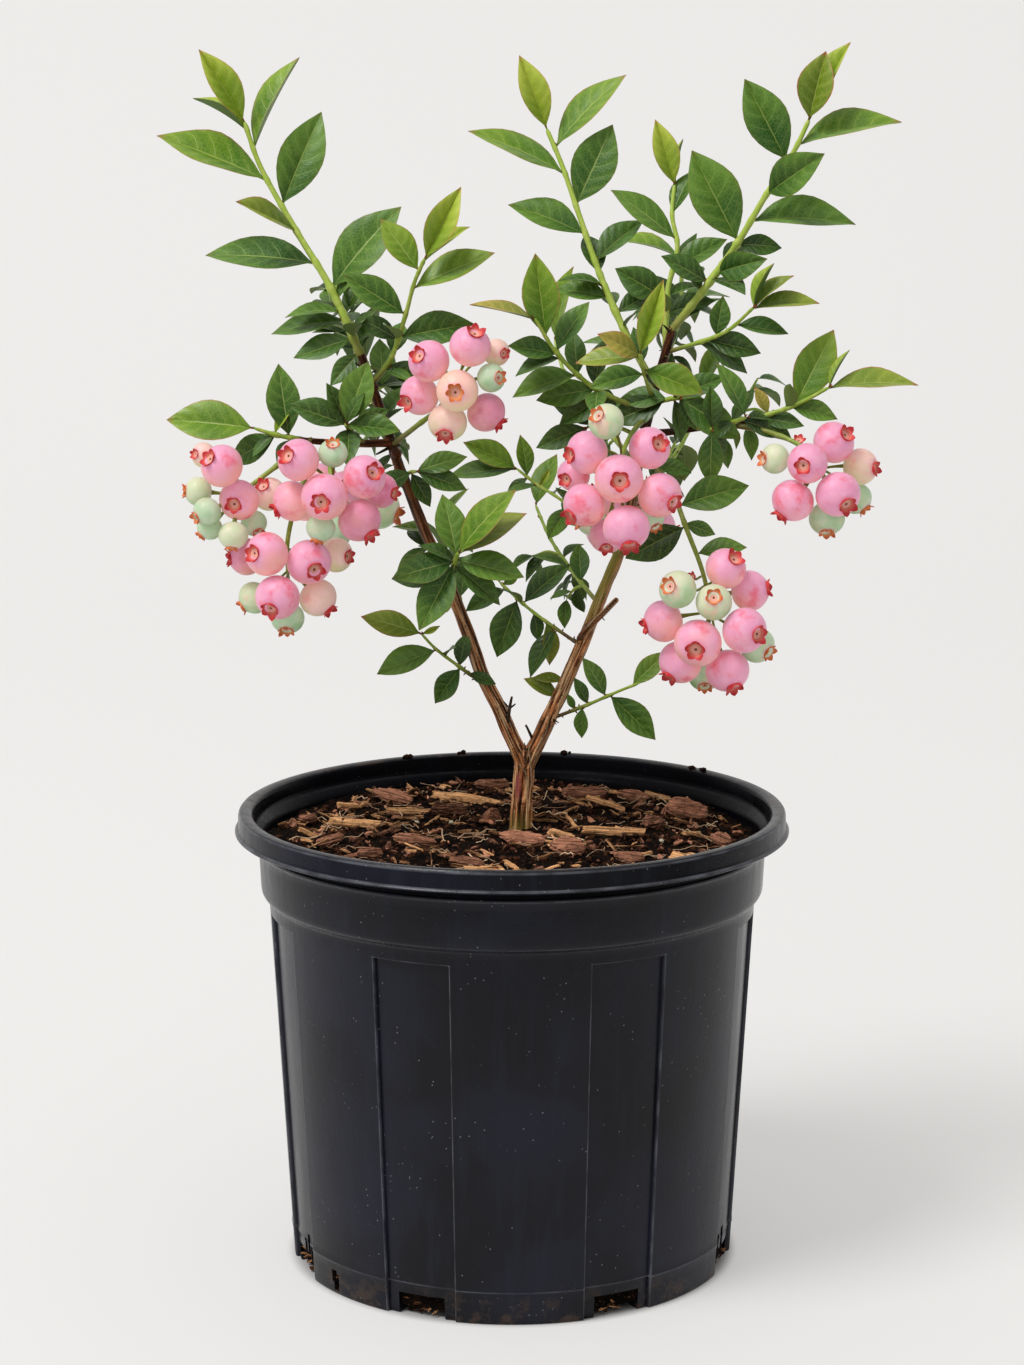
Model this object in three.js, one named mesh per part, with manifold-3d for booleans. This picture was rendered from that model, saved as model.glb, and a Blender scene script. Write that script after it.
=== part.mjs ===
// A blueberry bush with pink fruit in a black nursery pot.
//
// Millimetres, +Z up. The origin is the centre of the pot's flat underside. The bush is broadest along X,
// and its best face, with most of the fruit, looks along -Y.
//
// Every limb is one tapering solid. Every leafy shoot and every bunch of berries is one solid too: a stem,
// with its leaves, stalks and berries fused on. A stem starts SEAT clear of the limb that carries it.

import * as THREE from 'three';
import { mergeVertices } from 'three/addons/utils/BufferGeometryUtils.js';
import Module from 'manifold-3d';

const wasm = await Module();
wasm.setup();
const { Manifold, Mesh } = wasm;

// ---------------------------------------------------------------------------------------------------------
// Driving dimensions
// ---------------------------------------------------------------------------------------------------------

const SEAT = 0.3; // clearance between pieces that touch
const MERGE = 1e-3; // vertices closer than this are one

// Pot: a 5 litre nursery container.
const POT_HEIGHT = 187;
const POT_SIDES = 36;
const WALL = 1.9;
const FLOOR = 3;
const BASE_RADIUS = 90.5;
const BODY_TOP_RADIUS = 99; // under the step
const STEP_Z = 152.5;
const BAND_RADIUS = 102.2; // the plain band between step and lip
const BAND_TOP_Z = 173;
const LIP_RADIUS = 112.5;
const LIP_Z = 179.5; // height of the lip's widest line
const MOUTH_RADIUS = 105.2;

// Sunk panels round the body, as bearings from -Y towards +X, and the drain notch at the foot of each.
const PANEL_BEARINGS = [-71, -23.5, 27.5, 75, 119, 163, 207, 248];
const PANEL_SPAN = 18.5; // degrees
const PANEL_DEPTH = 1.0;
const PANEL_TOP_Z = 146;
const NOTCH_SPAN = 12.5; // degrees
const NOTCH_HEIGHT = 9;
const NOTCH_REACH = 12; // from the wall towards the middle

// Potting mix, crowned up to the trunk, and the larger pieces of bark on it.
const MIX_EDGE_Z = 172;
const GROUND_Z = 178; // round the trunk
const GROUND_RADIUS = 15;
const MIX_SIDES = 18;
const MIX_SLACK = 0.5; // more clearance below the surface, where the mix and the wall aren't parallel
const CHIP_LIFT = 0.2; // from the surface up to the middle of a chip
// [x, y, length, width, thickness, turn]
const BARK_CHIPS = [
  [5, -24, 22, 11, 5, -4],
  [22, -37, 18, 10, 5, 8],
  [-38, -27, 18, 8, 4, -10],
  [-74, -18, 15, 10, 4, 35],
  [72, 22, 20, 12, 6, 12],
  [-50, 44, 20, 9, 4, -30],
  [30, 62, 24, 10, 5, 20],
];

// Limbs, each from its root to its tip, with the radius at both ends. swell widens the root end.
const LIMBS = [
  {
    name: 'trunk', radii: [4.3, 3.9], swell: 1.4,
    path: [[3, 0, 168], [3.5, 0, 180], [4.4, 0, 194], [5.3, 0, 209]],
  },
  {
    name: 'left_stem', radii: [3.4, 1.8], swell: 0,
    path: [
      [5, 0, 205], [-2, 0, 220], [-12, 1, 242], [-25, 3, 277], [-40, 3, 312], [-50, 3, 341], [-60, 4, 370],
    ],
  },
  {
    name: 'right_stem', radii: [3.4, 1.7], swell: 0,
    path: [
      [6, 0, 205], [12, 0, 217], [22, 0, 239], [35, 1, 271], [45, 2, 297], [52, 3, 335], [57, 4, 356],
      [64, 5, 381],
    ],
  },
  {
    name: 'left_branch', radii: [1.7, 1.2], swell: 0.3,
    path: [[-48, 3, 335], [-66, -7, 336], [-84, -14, 338]],
  },
  {
    name: 'right_branch', radii: [1.6, 1.1], swell: 0.3,
    path: [[52, 3, 338], [72, -1, 341], [93, -7, 344]],
  },
  {
    name: 'dead_stub', radii: [1.7, 1.1], swell: 0.2,
    path: [[29, 0, 258], [35, -6, 266], [42, -10, 274]],
  },
];
const LIMB_SIDES = 7;
const LIMB_STEP = 16; // spacing of a limb's rings

// Leaves. A leaf's outline is given by its half width at places along it, as shares of its length.
const LEAF_WIDTH = 0.43; // share of the length
const LEAF_STATIONS = [[0, 0.07], [0.36, 1], [0.72, 0.72]];
const SMALL_LEAF_STATIONS = [[0, 0.08], [0.48, 1]];
const SMALL_LEAF = 31; // a leaf shorter than this has the plainer outline
const LEAF_THICK = 0.04; // from the flat upper face down to the midrib's keel, share of the length
const LEAF_BEND = 0.1; // how far the tip falls, share of the length
// Where a listed leaf would meet another node, these are added to its aim and lean in turn.
const NUDGES = [[0, 0], [0, 12], [0, -12], [8, 20], [-8, -20], [14, 30], [-14, -30]];

// Leaves that the rule adds.
const GOLDEN_ANGLE = 137.5;
const SPREAD = 58; // degrees between stem and leaf
const WOBBLE = 24; // degrees by which the spread varies
const FACE_ALONG = 0.8; // share of the stem's direction in the way that the upper face looks
const FACE_UP = 0.6; // share of +Z in it
const TRIES = 7;
const TRY_TURN = 40; // degrees further round at each try
const TRY_SHRINK = 0.04; // share of its length that a leaf loses at each try
const STEM_SIDES = 3;
const STEM_STEP = 18; // spacing of a stem's rings

// Leafy shoots. stem runs from inside the limb to the tip. A leaf is [place along the stem, aim, length,
// lean, roll]: aim is its bearing across the broad face, from +X round by +Z, lean is how far it comes
// forward, and roll is how far its upper face turns up. fill leaves are added by the rule in ruledLeaf,
// between the given shares of the stem.
const SHOOTS = [
  {
    name: 'shoot_left_leader', radii: [1.9, 1.0], seed: 11, fill: [6, 0, 0.3, 15, 22],
    stem: [[-59, 4, 367], [-72, 8, 396], [-86, 12, 419], [-100, 15, 444], [-106, 16, 461]],
    leaves: [
      [1, 120, 33, 10, 20], [0.97, 140, 26, -15, 60], [0.9, 68, 40, -5, 55], [0.77, 155, 47, 0, 50],
      [0.66, 68, 40, 0, 0], [0.55, 140, 34, 50, 20], [0.41, 170, 44, 0, 50], [0.3, 55, 42, 5, 25],
      [0.17, -178, 30, 0, 50], [0.1, -163, 25, 10, 30], [0.04, -135, 18, 30, 10],
    ],
  },
  {
    name: 'shoot_left_fork', radii: [1.3, 0.8], seed: 12, fill: [3, 0.05, 0.4, 14, 20],
    stem: [[-56, 4, 358], [-48, -3, 369], [-42, -8, 386], [-38, -12, 400], [-34, -16, 409]],
    leaves: [
      [1, 63, 31, 10, 5], [0.98, 43, 24, -20, 40], [0.9, 125, 25, 0, 20], [0.77, 26, 35, 0, 45],
      [0.58, 145, 29, 5, 20], [0.42, 12, 30, 0, 20], [0.4, 146, 18, 0, 30], [0.2, -20, 18, 10, 20],
    ],
  },
  {
    name: 'shoot_left_side', radii: [1.1, 0.8], seed: 13, fill: [1, 0.3, 0.6, 12, 16],
    stem: [[-82, -13, 338], [-92, -16, 340], [-101, -18, 343]],
    leaves: [[1, 172, 35, 0, 30], [0.3, 98, 29, 0, 0], [0.6, 60, 13, -15, 30]],
  },
  {
    name: 'rosette_left', radii: [1.1, 0.8], seed: 14, fill: [2, 0.3, 1, 14, 20],
    stem: [[-59, -4, 336], [-64, -13, 342], [-65, -21, 345]],
    leaves: [
      [1, 70, 26, 5, 10], [1, -5, 22, 15, 30], [0.9, 157, 24, 10, 30], [0.8, 150, 20, -10, 40],
      [0.7, 110, 20, 20, 20], [0.5, 30, 18, -20, 20],
    ],
  },
  {
    name: 'shoot_centre_leader', radii: [1.8, 1.0], seed: 15, fill: [4, 0.08, 0.4, 14, 22],
    stem: [[57, 4, 357], [43, 12, 383], [34, 18, 404], [27, 22, 424], [20, 27, 444], [14, 30, 458]],
    leaves: [
      [1, 110, 31, 5, 10], [0.93, 53, 40, 0, 50], [0.83, 150, 42, 0, 55], [0.71, 65, 35, 0, 10],
      [0.6, 153, 33, 0, 35], [0.5, 45, 26, -10, 35], [0.45, 110, 20, -30, 20], [0.36, 165, 22, 0, 40],
      [0.3, 30, 20, -15, 30],
    ],
  },
  {
    name: 'shoot_second_leader', radii: [1.5, 0.9], seed: 16, fill: [3, 0.05, 0.35, 14, 20],
    stem: [[61, 4, 369], [62, 12, 394], [66, 16, 412], [64, 20, 424], [65, 24, 436]],
    leaves: [
      [1, 105, 27, 5, 5], [1, 85, 20, -20, 60], [0.83, 68, 20, -10, 40], [0.68, 140, 33, 5, 45],
      [0.5, 33, 25, 0, 35], [0.33, 148, 24, 0, 10], [0.25, 20, 20, 10, 30],
    ],
  },
  {
    name: 'shoot_right_leader', radii: [1.9, 1.0], seed: 17, fill: [4, 0.06, 0.34, 15, 22],
    stem: [[63, 5, 379], [76, 2, 396], [89, -3, 415], [99, -8, 433], [110, -11, 451], [115, -12, 462]],
    leaves: [
      [1, 78, 27, 5, 15], [1, 63, 35, -10, 40], [0.9, 19, 41, 0, 55], [0.82, 118, 36, 0, 5],
      [0.67, 40, 32, 40, 20], [0.55, 7, 41, 0, 45], [0.45, 118, 40, 0, 5], [0.44, 0, 18, 0, 20],
      [0.3, 22, 24, 45, 10], [0.25, 150, 22, 10, 30],
    ],
  },
  {
    name: 'shoot_right_side', radii: [1.1, 0.7], seed: 18, fill: [2, 0.15, 0.5, 14, 18],
    stem: [[62, 5, 371], [84, -8, 380], [94, -18, 390]],
    leaves: [
      [1, 70, 19, 0, 60], [1, 47, 20, 0, 55], [1, 10, 26, 0, 50], [0.74, -6, 21, 5, 40],
      [0.4, -10, 22, 10, 20], [0.35, -28, 22, 5, 40],
    ],
  },
  {
    name: 'shoot_front', radii: [1.3, 0.8], seed: 19, fill: [2, 0.4, 0.8, 12, 16],
    stem: [[56, 4, 353], [52, -22, 364], [49, -42, 374]],
    leaves: [
      [1, 73, 30, 10, 5], [0.95, 146, 26, 30, 20], [0.95, 180, 25, 0, 45], [0.7, -20, 25, 15, 20],
      [0.6, -172, 22, 10, 30],
    ],
  },
  {
    name: 'shoot_inner_left', radii: [1.3, 0.8], seed: 20, fill: [3, 0.2, 0.7, 14, 20],
    stem: [[54, 3, 347], [31, -8, 359], [17, -16, 373], [9, -21, 386]],
    leaves: [
      [1, 103, 27, 5, 5], [1, 163, 28, 0, 50], [0.75, 60, 24, -10, 30], [0.73, 168, 20, 10, 30],
      [0.54, -168, 27, 0, 40], [0.38, -174, 24, 5, 20], [0.4, 80, 20, -10, 30], [0.3, -150, 22, 10, 20],
    ],
  },
  {
    name: 'shoot_inner_low', radii: [1.1, 0.7], seed: 21, fill: [3, 0.3, 1, 14, 20],
    stem: [[52, 3, 337], [40, 2, 342], [30, -3, 342]],
    leaves: [[1, -160, 22, 5, 15], [0.8, 150, 20, 0, 30], [0.6, 100, 18, 10, 20], [1, -120, 18, -10, 30]],
  },
  {
    name: 'shoot_right_side_low', radii: [1.1, 0.8], seed: 22, fill: [2, 0.1, 0.5, 11, 14],
    stem: [[91, -6, 344], [112, -14, 352], [124, -18, 359]],
    leaves: [
      [1, 11, 35, 0, 55], [1, 67, 17, -10, 60], [0.6, 63, 33, 0, 5], [0.3, 115, 12, 0, 20],
      [0.55, -11, 19, 10, 30], [0.2, -8, 18, 15, 30], [0.12, -25, 18, 0, 30],
    ],
  },
  {
    name: 'rosette_right', radii: [1.0, 0.8], seed: 23, fill: [1, 0.4, 1, 10, 14],
    stem: [[83, -4, 342], [88, -11, 345], [92, -15, 347]],
    leaves: [[1, 113, 24, 0, 35], [0.8, -18, 19, 0, 30], [0.6, -150, 13, 0, 30], [0.5, 60, 12, -30, 20]],
  },
  {
    name: 'sprig_right_branch', radii: [0.9, 0.7], seed: 39, fill: [0, 0, 0, 0, 0],
    stem: [[73, -1, 341], [77, -8, 342], [79, -12, 342]],
    leaves: [[1, 92, 17, 0, 10], [1, -93, 22, 5, 10], [0.8, -50, 14, -20, 20], [0.7, 150, 12, -10, 20]],
  },
  {
    name: 'rosette_right_stem', radii: [1.0, 0.8], seed: 24, fill: [3, 0.5, 1, 14, 18],
    stem: [[56, 4, 350], [62, -3, 353], [66, -8, 354]],
    leaves: [[1, -32, 29, 10, 10], [1, 30, 20, 0, 30], [0.8, -75, 18, 0, 30]],
  },
  {
    name: 'shoot_left_front', radii: [1.3, 0.8], seed: 25, fill: [2, 0.3, 0.8, 13, 18],
    stem: [[-27, 3, 279], [-24, -19, 287], [-21, -35, 296]],
    leaves: [
      [1, 54, 38, 15, 10], [0.97, 37, 33, 0, 45], [0.9, 99, 25, -5, 15], [0.85, -12, 28, 15, 35],
      [0.8, -169, 26, 20, 30], [0.75, -118, 30, 20, 10], [0.7, -35, 24, 10, 35], [0.55, -171, 25, -10, 20],
    ],
  },
  {
    name: 'sprig_left_stem', radii: [0.9, 0.7], seed: 26, fill: [1, 0.5, 1, 12, 14],
    stem: [[-44, 3, 322], [-41, -5, 324], [-38, -10, 325]],
    leaves: [[1, -16, 21, 10, 25], [1, 20, 21, 0, 30], [0.8, -157, 18, 15, 30], [0.7, -60, 16, 0, 20]],
  },
  {
    name: 'shoot_lower_left', radii: [0.9, 0.6], seed: 27, fill: [1, 0.3, 0.6, 9, 12],
    stem: [[-11, 1, 237], [-22, -4, 246], [-31, -9, 254], [-36, -12, 260]],
    leaves: [
      [1, 159, 25, 5, 30], [0.73, -160, 26, 5, 35], [0.36, -129, 18, 5, 15], [1, 25, 8, 0, 0],
      [0.38, 80, 14, -10, 20], [0.25, -20, 12, 10, 20],
    ],
  },
  {
    name: 'shoot_middle', radii: [0.9, 0.6], seed: 28, fill: [2, 0.4, 1, 11, 16],
    stem: [[28, 0, 253], [7, 8, 267], [-5, 14, 277]],
    leaves: [
      [0.91, -154, 19, 5, 30], [0.76, -112, 25, 10, 10], [0.69, 45, 25, -5, 30], [0.96, 34, 8, 0, 0],
      [0.56, -77, 12, 0, 20], [0.41, -80, 18, 5, 30], [0.3, -125, 22, 20, 40],
    ],
  },
  {
    name: 'shoot_upper_left', radii: [0.9, 0.6], seed: 29, fill: [3, 0.35, 0.8, 11, 16],
    stem: [[43, 2, 292], [20, 10, 311], [10, 14, 317], [2, 16, 323]],
    leaves: [
      [1, 150, 24, 0, 25], [1, -178, 28, 0, 50], [0.9, 95, 17, 0, 20], [0.78, 60, 8, 0, 0],
      [0.89, -149, 11, 0, 30], [0.5, -126, 16, 0, 20],
    ],
  },
  {
    name: 'shoot_low_right', radii: [0.9, 0.6], seed: 30, fill: [0, 0, 0, 0, 0],
    stem: [[15, 0, 223], [30, -6, 230], [43, -12, 237], [51, -16, 241]],
    leaves: [
      [0.28, 116, 7, 0, 0], [0.36, -92, 13, 0, 20], [0.42, 114, 12, 0, 20], [0.62, 115, 18, 0, 30],
      [0.91, 46, 20, 0, 25], [0.66, -42, 26, 5, 20],
    ],
  },
  {
    name: 'shoot_back_left_high', radii: [1.5, 0.8], seed: 31, fill: [11, 0.12, 1, 18, 26],
    stem: [[-56, 3, 358], [-62, 30, 366], [-66, 54, 377], [-66, 70, 390]], leaves: [],
  },
  {
    name: 'shoot_back_left_mid', radii: [1.3, 0.8], seed: 32, fill: [9, 0.15, 1, 18, 30],
    stem: [[-45, 3, 326], [-50, 34, 333], [-58, 62, 345], [-62, 82, 360]], leaves: [],
  },
  {
    name: 'shoot_back_centre', radii: [1.3, 0.8], seed: 33, fill: [9, 0.18, 1, 18, 30],
    stem: [[50, 3, 326], [38, 32, 338], [24, 58, 352], [18, 76, 370]], leaves: [],
  },
  {
    name: 'shoot_back_right_high', radii: [1.5, 0.8], seed: 34, fill: [11, 0.12, 1, 20, 30],
    stem: [[60, 5, 366], [66, 32, 376], [70, 56, 390], [70, 72, 405]], leaves: [],
  },
  {
    name: 'shoot_back_right_mid', radii: [1.3, 0.8], seed: 35, fill: [9, 0.15, 1, 18, 30],
    stem: [[48, 3, 312], [62, 34, 320], [74, 62, 334], [80, 82, 348]], leaves: [],
  },
  {
    name: 'shoot_back_low', radii: [1.1, 0.7], seed: 36, fill: [9, 0.2, 1, 16, 26],
    stem: [[35, 1, 270], [26, 26, 278], [16, 48, 290], [10, 62, 302]], leaves: [],
  },
  {
    name: 'shoot_back_left_low', radii: [1.1, 0.7], seed: 37, fill: [9, 0.2, 1, 16, 26],
    stem: [[-20, 2, 263], [-22, 26, 271], [-28, 48, 282], [-30, 60, 296]], leaves: [],
  },
  {
    name: 'shoot_back_right_side', radii: [1.0, 0.7], seed: 38, fill: [7, 0.2, 1, 14, 20],
    stem: [[86, -5, 343], [91, 16, 344], [96, 34, 347], [99, 48, 353]], leaves: [],
  },
];

// Bunches of berries. stem runs from inside the limb to the heart of the bunch. A berry is [x, z, diameter,
// aim, turn]: its middle, and where its crown looks, turn degrees away from -Y towards aim. The list runs
// from front to back: the first berry lies at depth front, and each other one as near the front as it can.
const BUNCHES = [
  {
    name: 'berries_far_left', front: -42, stem: [[-79, -12, 338], [-92, -25, 329], [-107, -30, 318]],
    berries: [
      [-112, 331, 16.6, 140, 50], [-106, 317, 15.8, -145, 15], [-118, 313, 11.6, -155, 60],
      [-108, 304, 11.6, -95, 70], [-118, 306, 10.5, -135, 80], [-122, 320, 11.6, 175, 80],
      [-101, 307, 10.4, -60, 50], [-95, 318, 13.5, 115, 45], [-120, 334, 10, 165, 45],
    ],
  },
  {
    name: 'berries_left', front: -50, stem: [[-66, -7, 336], [-71, -24, 330], [-70, -33, 323]],
    berries: [
      [-72, 320, 18.1, -125, 10], [-82, 334, 16.5, 150, 40], [-57, 327, 16.9, 30, 35],
      [-59, 310, 17.3, -50, 65], [-85, 317, 16.2, -150, 80], [-69, 336, 11.5, 90, 50],
      [-74, 307, 11.6, -105, 75], [-51, 320, 13.8, -5, 60],
    ],
  },
  {
    name: 'berries_left_low', front: -44,
    stem: [[-72, -10, 337], [-82, -20, 322], [-88, -27, 300], [-88, -28, 288]],
    berries: [
      [-95, 297, 17.1, 165, 40], [-79, 293, 17.5, -35, 25], [-91, 280, 17.5, -120, 35],
      [-101, 278, 12.8, -145, 80], [-76, 278, 15.2, -45, 75], [-88, 270, 13.2, -95, 50],
      [-104, 294, 14.7, -175, 75], [-69, 294, 13.6, 0, 55],
    ],
  },
  {
    name: 'berries_centre_left', front: -42,
    stem: [[-48, 3, 334], [-38, -12, 343], [-28, -22, 352], [-22, -26, 361]],
    berries: [
      [-21, 360, 16.2, 180, 5], [-32, 371, 16.1, 150, 40], [-16, 377, 16.1, 70, 55],
      [-25, 347, 15.4, -100, 40], [-36, 357, 15.8, -155, 50], [-10, 351, 15.4, -40, 80],
      [-8, 365, 11.2, 5, 40], [-6, 374, 10.8, 0, 40],
    ],
  },
  {
    name: 'berries_centre', front: -50,
    stem: [[54, 3, 345], [48, -16, 342], [43, -30, 334], [42, -33, 325]],
    berries: [
      [41, 327, 18.8, 0, 0], [28, 316, 17.3, -145, 60], [44, 308, 18.1, -80, 50],
      [57, 320, 17.3, -25, 45], [53, 338, 16.5, 35, 35], [29, 336, 16.9, -175, 60],
      [36, 349, 13.8, 140, 45], [24, 326, 13.1, -160, 35], [37, 303, 13.9, -95, 40], [54, 310, 10.8, -60, 50],
    ],
  },
  {
    name: 'berries_right_low', front: -50,
    stem: [[52, 3, 331], [62, -10, 320], [69, -22, 303], [75, -30, 287], [78, -34, 272]],
    leaves: [[0.4, 20, 25, 0, 30], [0.52, -151, 27, 0, 10], [0.68, 11, 20, 0, 40]],
    berries: [
      [72, 263, 18.6, -135, 15], [78, 279, 14.3, 100, 25], [90, 268, 17.8, -10, 40],
      [66, 253, 17.1, -130, 65], [84, 251, 17.5, -70, 55], [64, 284, 14.7, 150, 40],
      [59, 270, 16.3, -165, 80], [83, 291, 16.2, 55, 50], [93, 281, 16.2, 10, 80],
      [96, 260, 14, -30, 50], [76, 246, 12.8, -90, 40],
    ],
  },
  {
    name: 'berries_right', front: -42,
    stem: [[88, -6, 343], [102, -16, 341], [114, -25, 336], [121, -27, 328]],
    berries: [
      [126, 320, 17.8, -50, 35], [114, 332, 15.8, -170, 20], [125, 339, 16.6, 40, 50],
      [136, 329, 14.3, 0, 60], [109, 317, 17, -130, 80], [102, 333, 12, 175, 65],
      [135, 316, 12.8, -50, 70], [123, 309, 14, -90, 55],
    ],
  },
];

// Two more bunches behind, which the rule in ruledBerries deals out round the heart of the bunch.
const BACK_BUNCHES = [
  {
    name: 'berries_back_left', seed: 51, count: 8,
    stem: [[-42, 3, 317], [-58, 26, 322], [-68, 46, 318], [-71, 52, 308]],
  },
  {
    name: 'berries_back_right', seed: 52, count: 8,
    stem: [[47, 3, 305], [46, 26, 315], [45, 44, 312], [45, 50, 300]],
  },
];
const BACK_BERRY = [13, 17.5]; // smallest and largest diameter
const HEART_REACH = 11; // from the heart of a back bunch to the middle of a berry
const HEART_TILT = 0.8; // sine of the steepest way, up or down, that a berry of a back bunch looks
const HEART_JITTER = 20; // degrees
const BERRY_STEP = 0.5; // how far a berry moves at a time to get clear of its neighbours
const BERRY_SHIFTS = [0, -1.5, 1.5, -3, 3, -5]; // along Y, to get clear of other nodes
const STALK_RADII = [1.1, 0.8];
const FORKS = [0.55, 0.7, 0.85, 1]; // places along a bunch's stem where pedicels start
const PEDICEL_RADIUS = 0.7;
const BERRY_SIDES = 6;
// [radius, height] of a berry along its axis, as shares of its radius, up to the crown and down its pit.
const BERRY_PROFILE = [[0, -0.9], [0.84, -0.5], [0.97, 0.3], [0.48, 0.96], [0, 0.7]];
const PACKING = 1.02; // berries stand this close, as a share of the distance at which they would touch

// ---------------------------------------------------------------------------------------------------------
// Geometry helpers
// ---------------------------------------------------------------------------------------------------------

const rad = THREE.MathUtils.degToRad;
const vec = (p) => new THREE.Vector3(...p);

// One repeatable stream of numbers from 0 to 1 for each seed.
function dice(seed) {
  let state = (seed * 2654435761) >>> 0;
  return () => {
    state = (Math.imul(state, 1664525) + 1013904223) >>> 0;
    return state / 4294967296;
  };
}

// Turns a closed geometry into a solid.
function toSolid(geometry) {
  const bare = geometry.clone();
  bare.deleteAttribute('normal');
  bare.deleteAttribute('uv');
  const merged = mergeVertices(bare, MERGE);
  const corners = merged.index.array;
  const triangles = [];
  for (let i = 0; i < corners.length; i += 3) {
    const [a, b, c] = [corners[i], corners[i + 1], corners[i + 2]];
    if (a !== b && b !== c && c !== a) triangles.push(a, b, c);
  }
  return new Manifold(new Mesh({
    numProp: 3,
    vertProperties: new Float32Array(merged.attributes.position.array),
    triVerts: new Uint32Array(triangles),
  }));
}

// A closed body through rings of equal count, each running counter-clockwise seen from the far end. It ends
// in a flat cap, or in a point where one is given.
function loft(rings, point) {
  const count = rings[0].length;
  const vertices = rings.flat();
  const index = [];
  for (let i = 0; i + 1 < rings.length; i++) {
    for (let j = 0; j < count; j++) {
      const a = i * count + j;
      const b = i * count + ((j + 1) % count);
      index.push(a, b, b + count, a, b + count, a + count);
    }
  }
  const last = (rings.length - 1) * count;
  for (let j = 1; j + 1 < count; j++) index.push(0, j + 1, j);
  if (point) {
    vertices.push(point);
    for (let j = 0; j < count; j++) index.push(last + j, last + ((j + 1) % count), vertices.length - 1);
  } else {
    for (let j = 1; j + 1 < count; j++) index.push(last, last + j, last + j + 1);
  }
  const places = vertices.flatMap((v) => v.toArray());
  const geometry = new THREE.BufferGeometry();
  geometry.setAttribute('position', new THREE.Float32BufferAttribute(places, 3));
  geometry.setIndex(index);
  return toSolid(geometry);
}

// A tapering tube along a curve. width(t) gives its radius at share t of the way.
function tube(curve, width, sides, steps) {
  const frames = curve.computeFrenetFrames(steps, false);
  const rings = [];
  for (let i = 0; i <= steps; i++) {
    const middle = curve.getPointAt(i / steps);
    const ring = [];
    for (let j = 0; j < sides; j++) {
      const angle = (2 * Math.PI * j) / sides;
      const out = frames.normals[i].clone().multiplyScalar(Math.cos(angle));
      out.addScaledVector(frames.binormals[i], Math.sin(angle));
      ring.push(middle.clone().addScaledVector(out, width(i / steps)));
    }
    rings.push(ring);
  }
  return loft(rings);
}

const curveThrough = (points) => new THREE.CatmullRomCurve3(points.map(vec), false, 'centripetal');

// The point at a share of the way along a stem's faceted axis, so that what starts there is well sunk in.
function onAxis({ curve, steps }, share) {
  const ring = Math.min(Math.floor(share * steps), steps - 1);
  const next = curve.getPointAt((ring + 1) / steps);
  return curve.getPointAt(ring / steps).lerp(next, share * steps - ring);
}

// Spins a [radius, height] profile round Z.
function turned(profile, sides) {
  const outline = profile.map(([radius, height]) => new THREE.Vector2(radius, height));
  return toSolid(new THREE.LatheGeometry(outline, sides).rotateX(Math.PI / 2));
}

// A block between two radii over part of a turn, centred on a bearing from -Y towards +X. The inner face
// may slope: inner is its radius at the bottom and at the top.
function arcBlock(bearing, span, inner, outer, low, high, steps) {
  const rings = [];
  for (let i = 0; i <= steps; i++) {
    const angle = rad(bearing + span * (i / steps - 0.5));
    const out = new THREE.Vector3(Math.sin(angle), -Math.cos(angle), 0);
    const at = (radius, height) => out.clone().multiplyScalar(radius).setZ(height);
    rings.push([at(inner[0], low), at(inner[1], high), at(outer, high), at(outer, low)]);
  }
  return loft(rings);
}

// Joins pieces into one body. A sealed hollow is filled and a loose scrap dropped, as only the outermost
// skin of the largest part is kept.
function fuse(pieces) {
  const bodies = Manifold.union(pieces).decompose();
  return bodies.reduce((best, body) => (body.volume() > best.volume() ? body : best));
}

// ---------------------------------------------------------------------------------------------------------
// Nodes, and the space that each piece takes
// ---------------------------------------------------------------------------------------------------------

const plant = new THREE.Group();
const taken = []; // { owner, solid, box } for every piece that stands above the ground
const limbRooms = []; // each limb, SEAT larger all round

function addNode(name, solid, color, roughness) {
  const { vertProperties, triVerts } = solid.getMesh();
  const geometry = new THREE.BufferGeometry();
  geometry.setAttribute('position', new THREE.BufferAttribute(new Float32Array(vertProperties), 3));
  geometry.setIndex(new THREE.BufferAttribute(new Uint32Array(triVerts), 1));
  geometry.computeVertexNormals();
  const material = new THREE.MeshStandardMaterial({ color, roughness, metalness: 0 });
  const mesh = new THREE.Mesh(geometry, material);
  mesh.name = name;
  plant.add(mesh);
}

const toBox = (solid) => {
  const { min, max } = solid.boundingBox();
  return new THREE.Box3(vec(min), vec(max));
};

function take(owner, solid) {
  taken.push({ owner, solid, box: toBox(solid) });
}

// True where a piece keeps SEAT clear of everything that other nodes hold.
function isClear(owner, solid) {
  const box = toBox(solid).expandByScalar(SEAT);
  return taken.every((other) => (
    other.owner === owner
    || !box.intersectsBox(other.box)
    || other.solid.minGap(solid, 2 * SEAT) >= SEAT
  ));
}

// Cuts a stem back to SEAT clear of the limbs that it starts in.
function rooted(stem) {
  const cut = limbRooms.reduce((solid, room) => solid.subtract(room), stem);
  const parts = cut.decompose();
  return parts.reduce((best, part) => (part.volume() > best.volume() ? part : best));
}

// ---------------------------------------------------------------------------------------------------------
// Pot and potting mix
// ---------------------------------------------------------------------------------------------------------

const outerRadius = (z) => BASE_RADIUS + ((BODY_TOP_RADIUS - BASE_RADIUS) * z) / STEP_Z;

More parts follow.
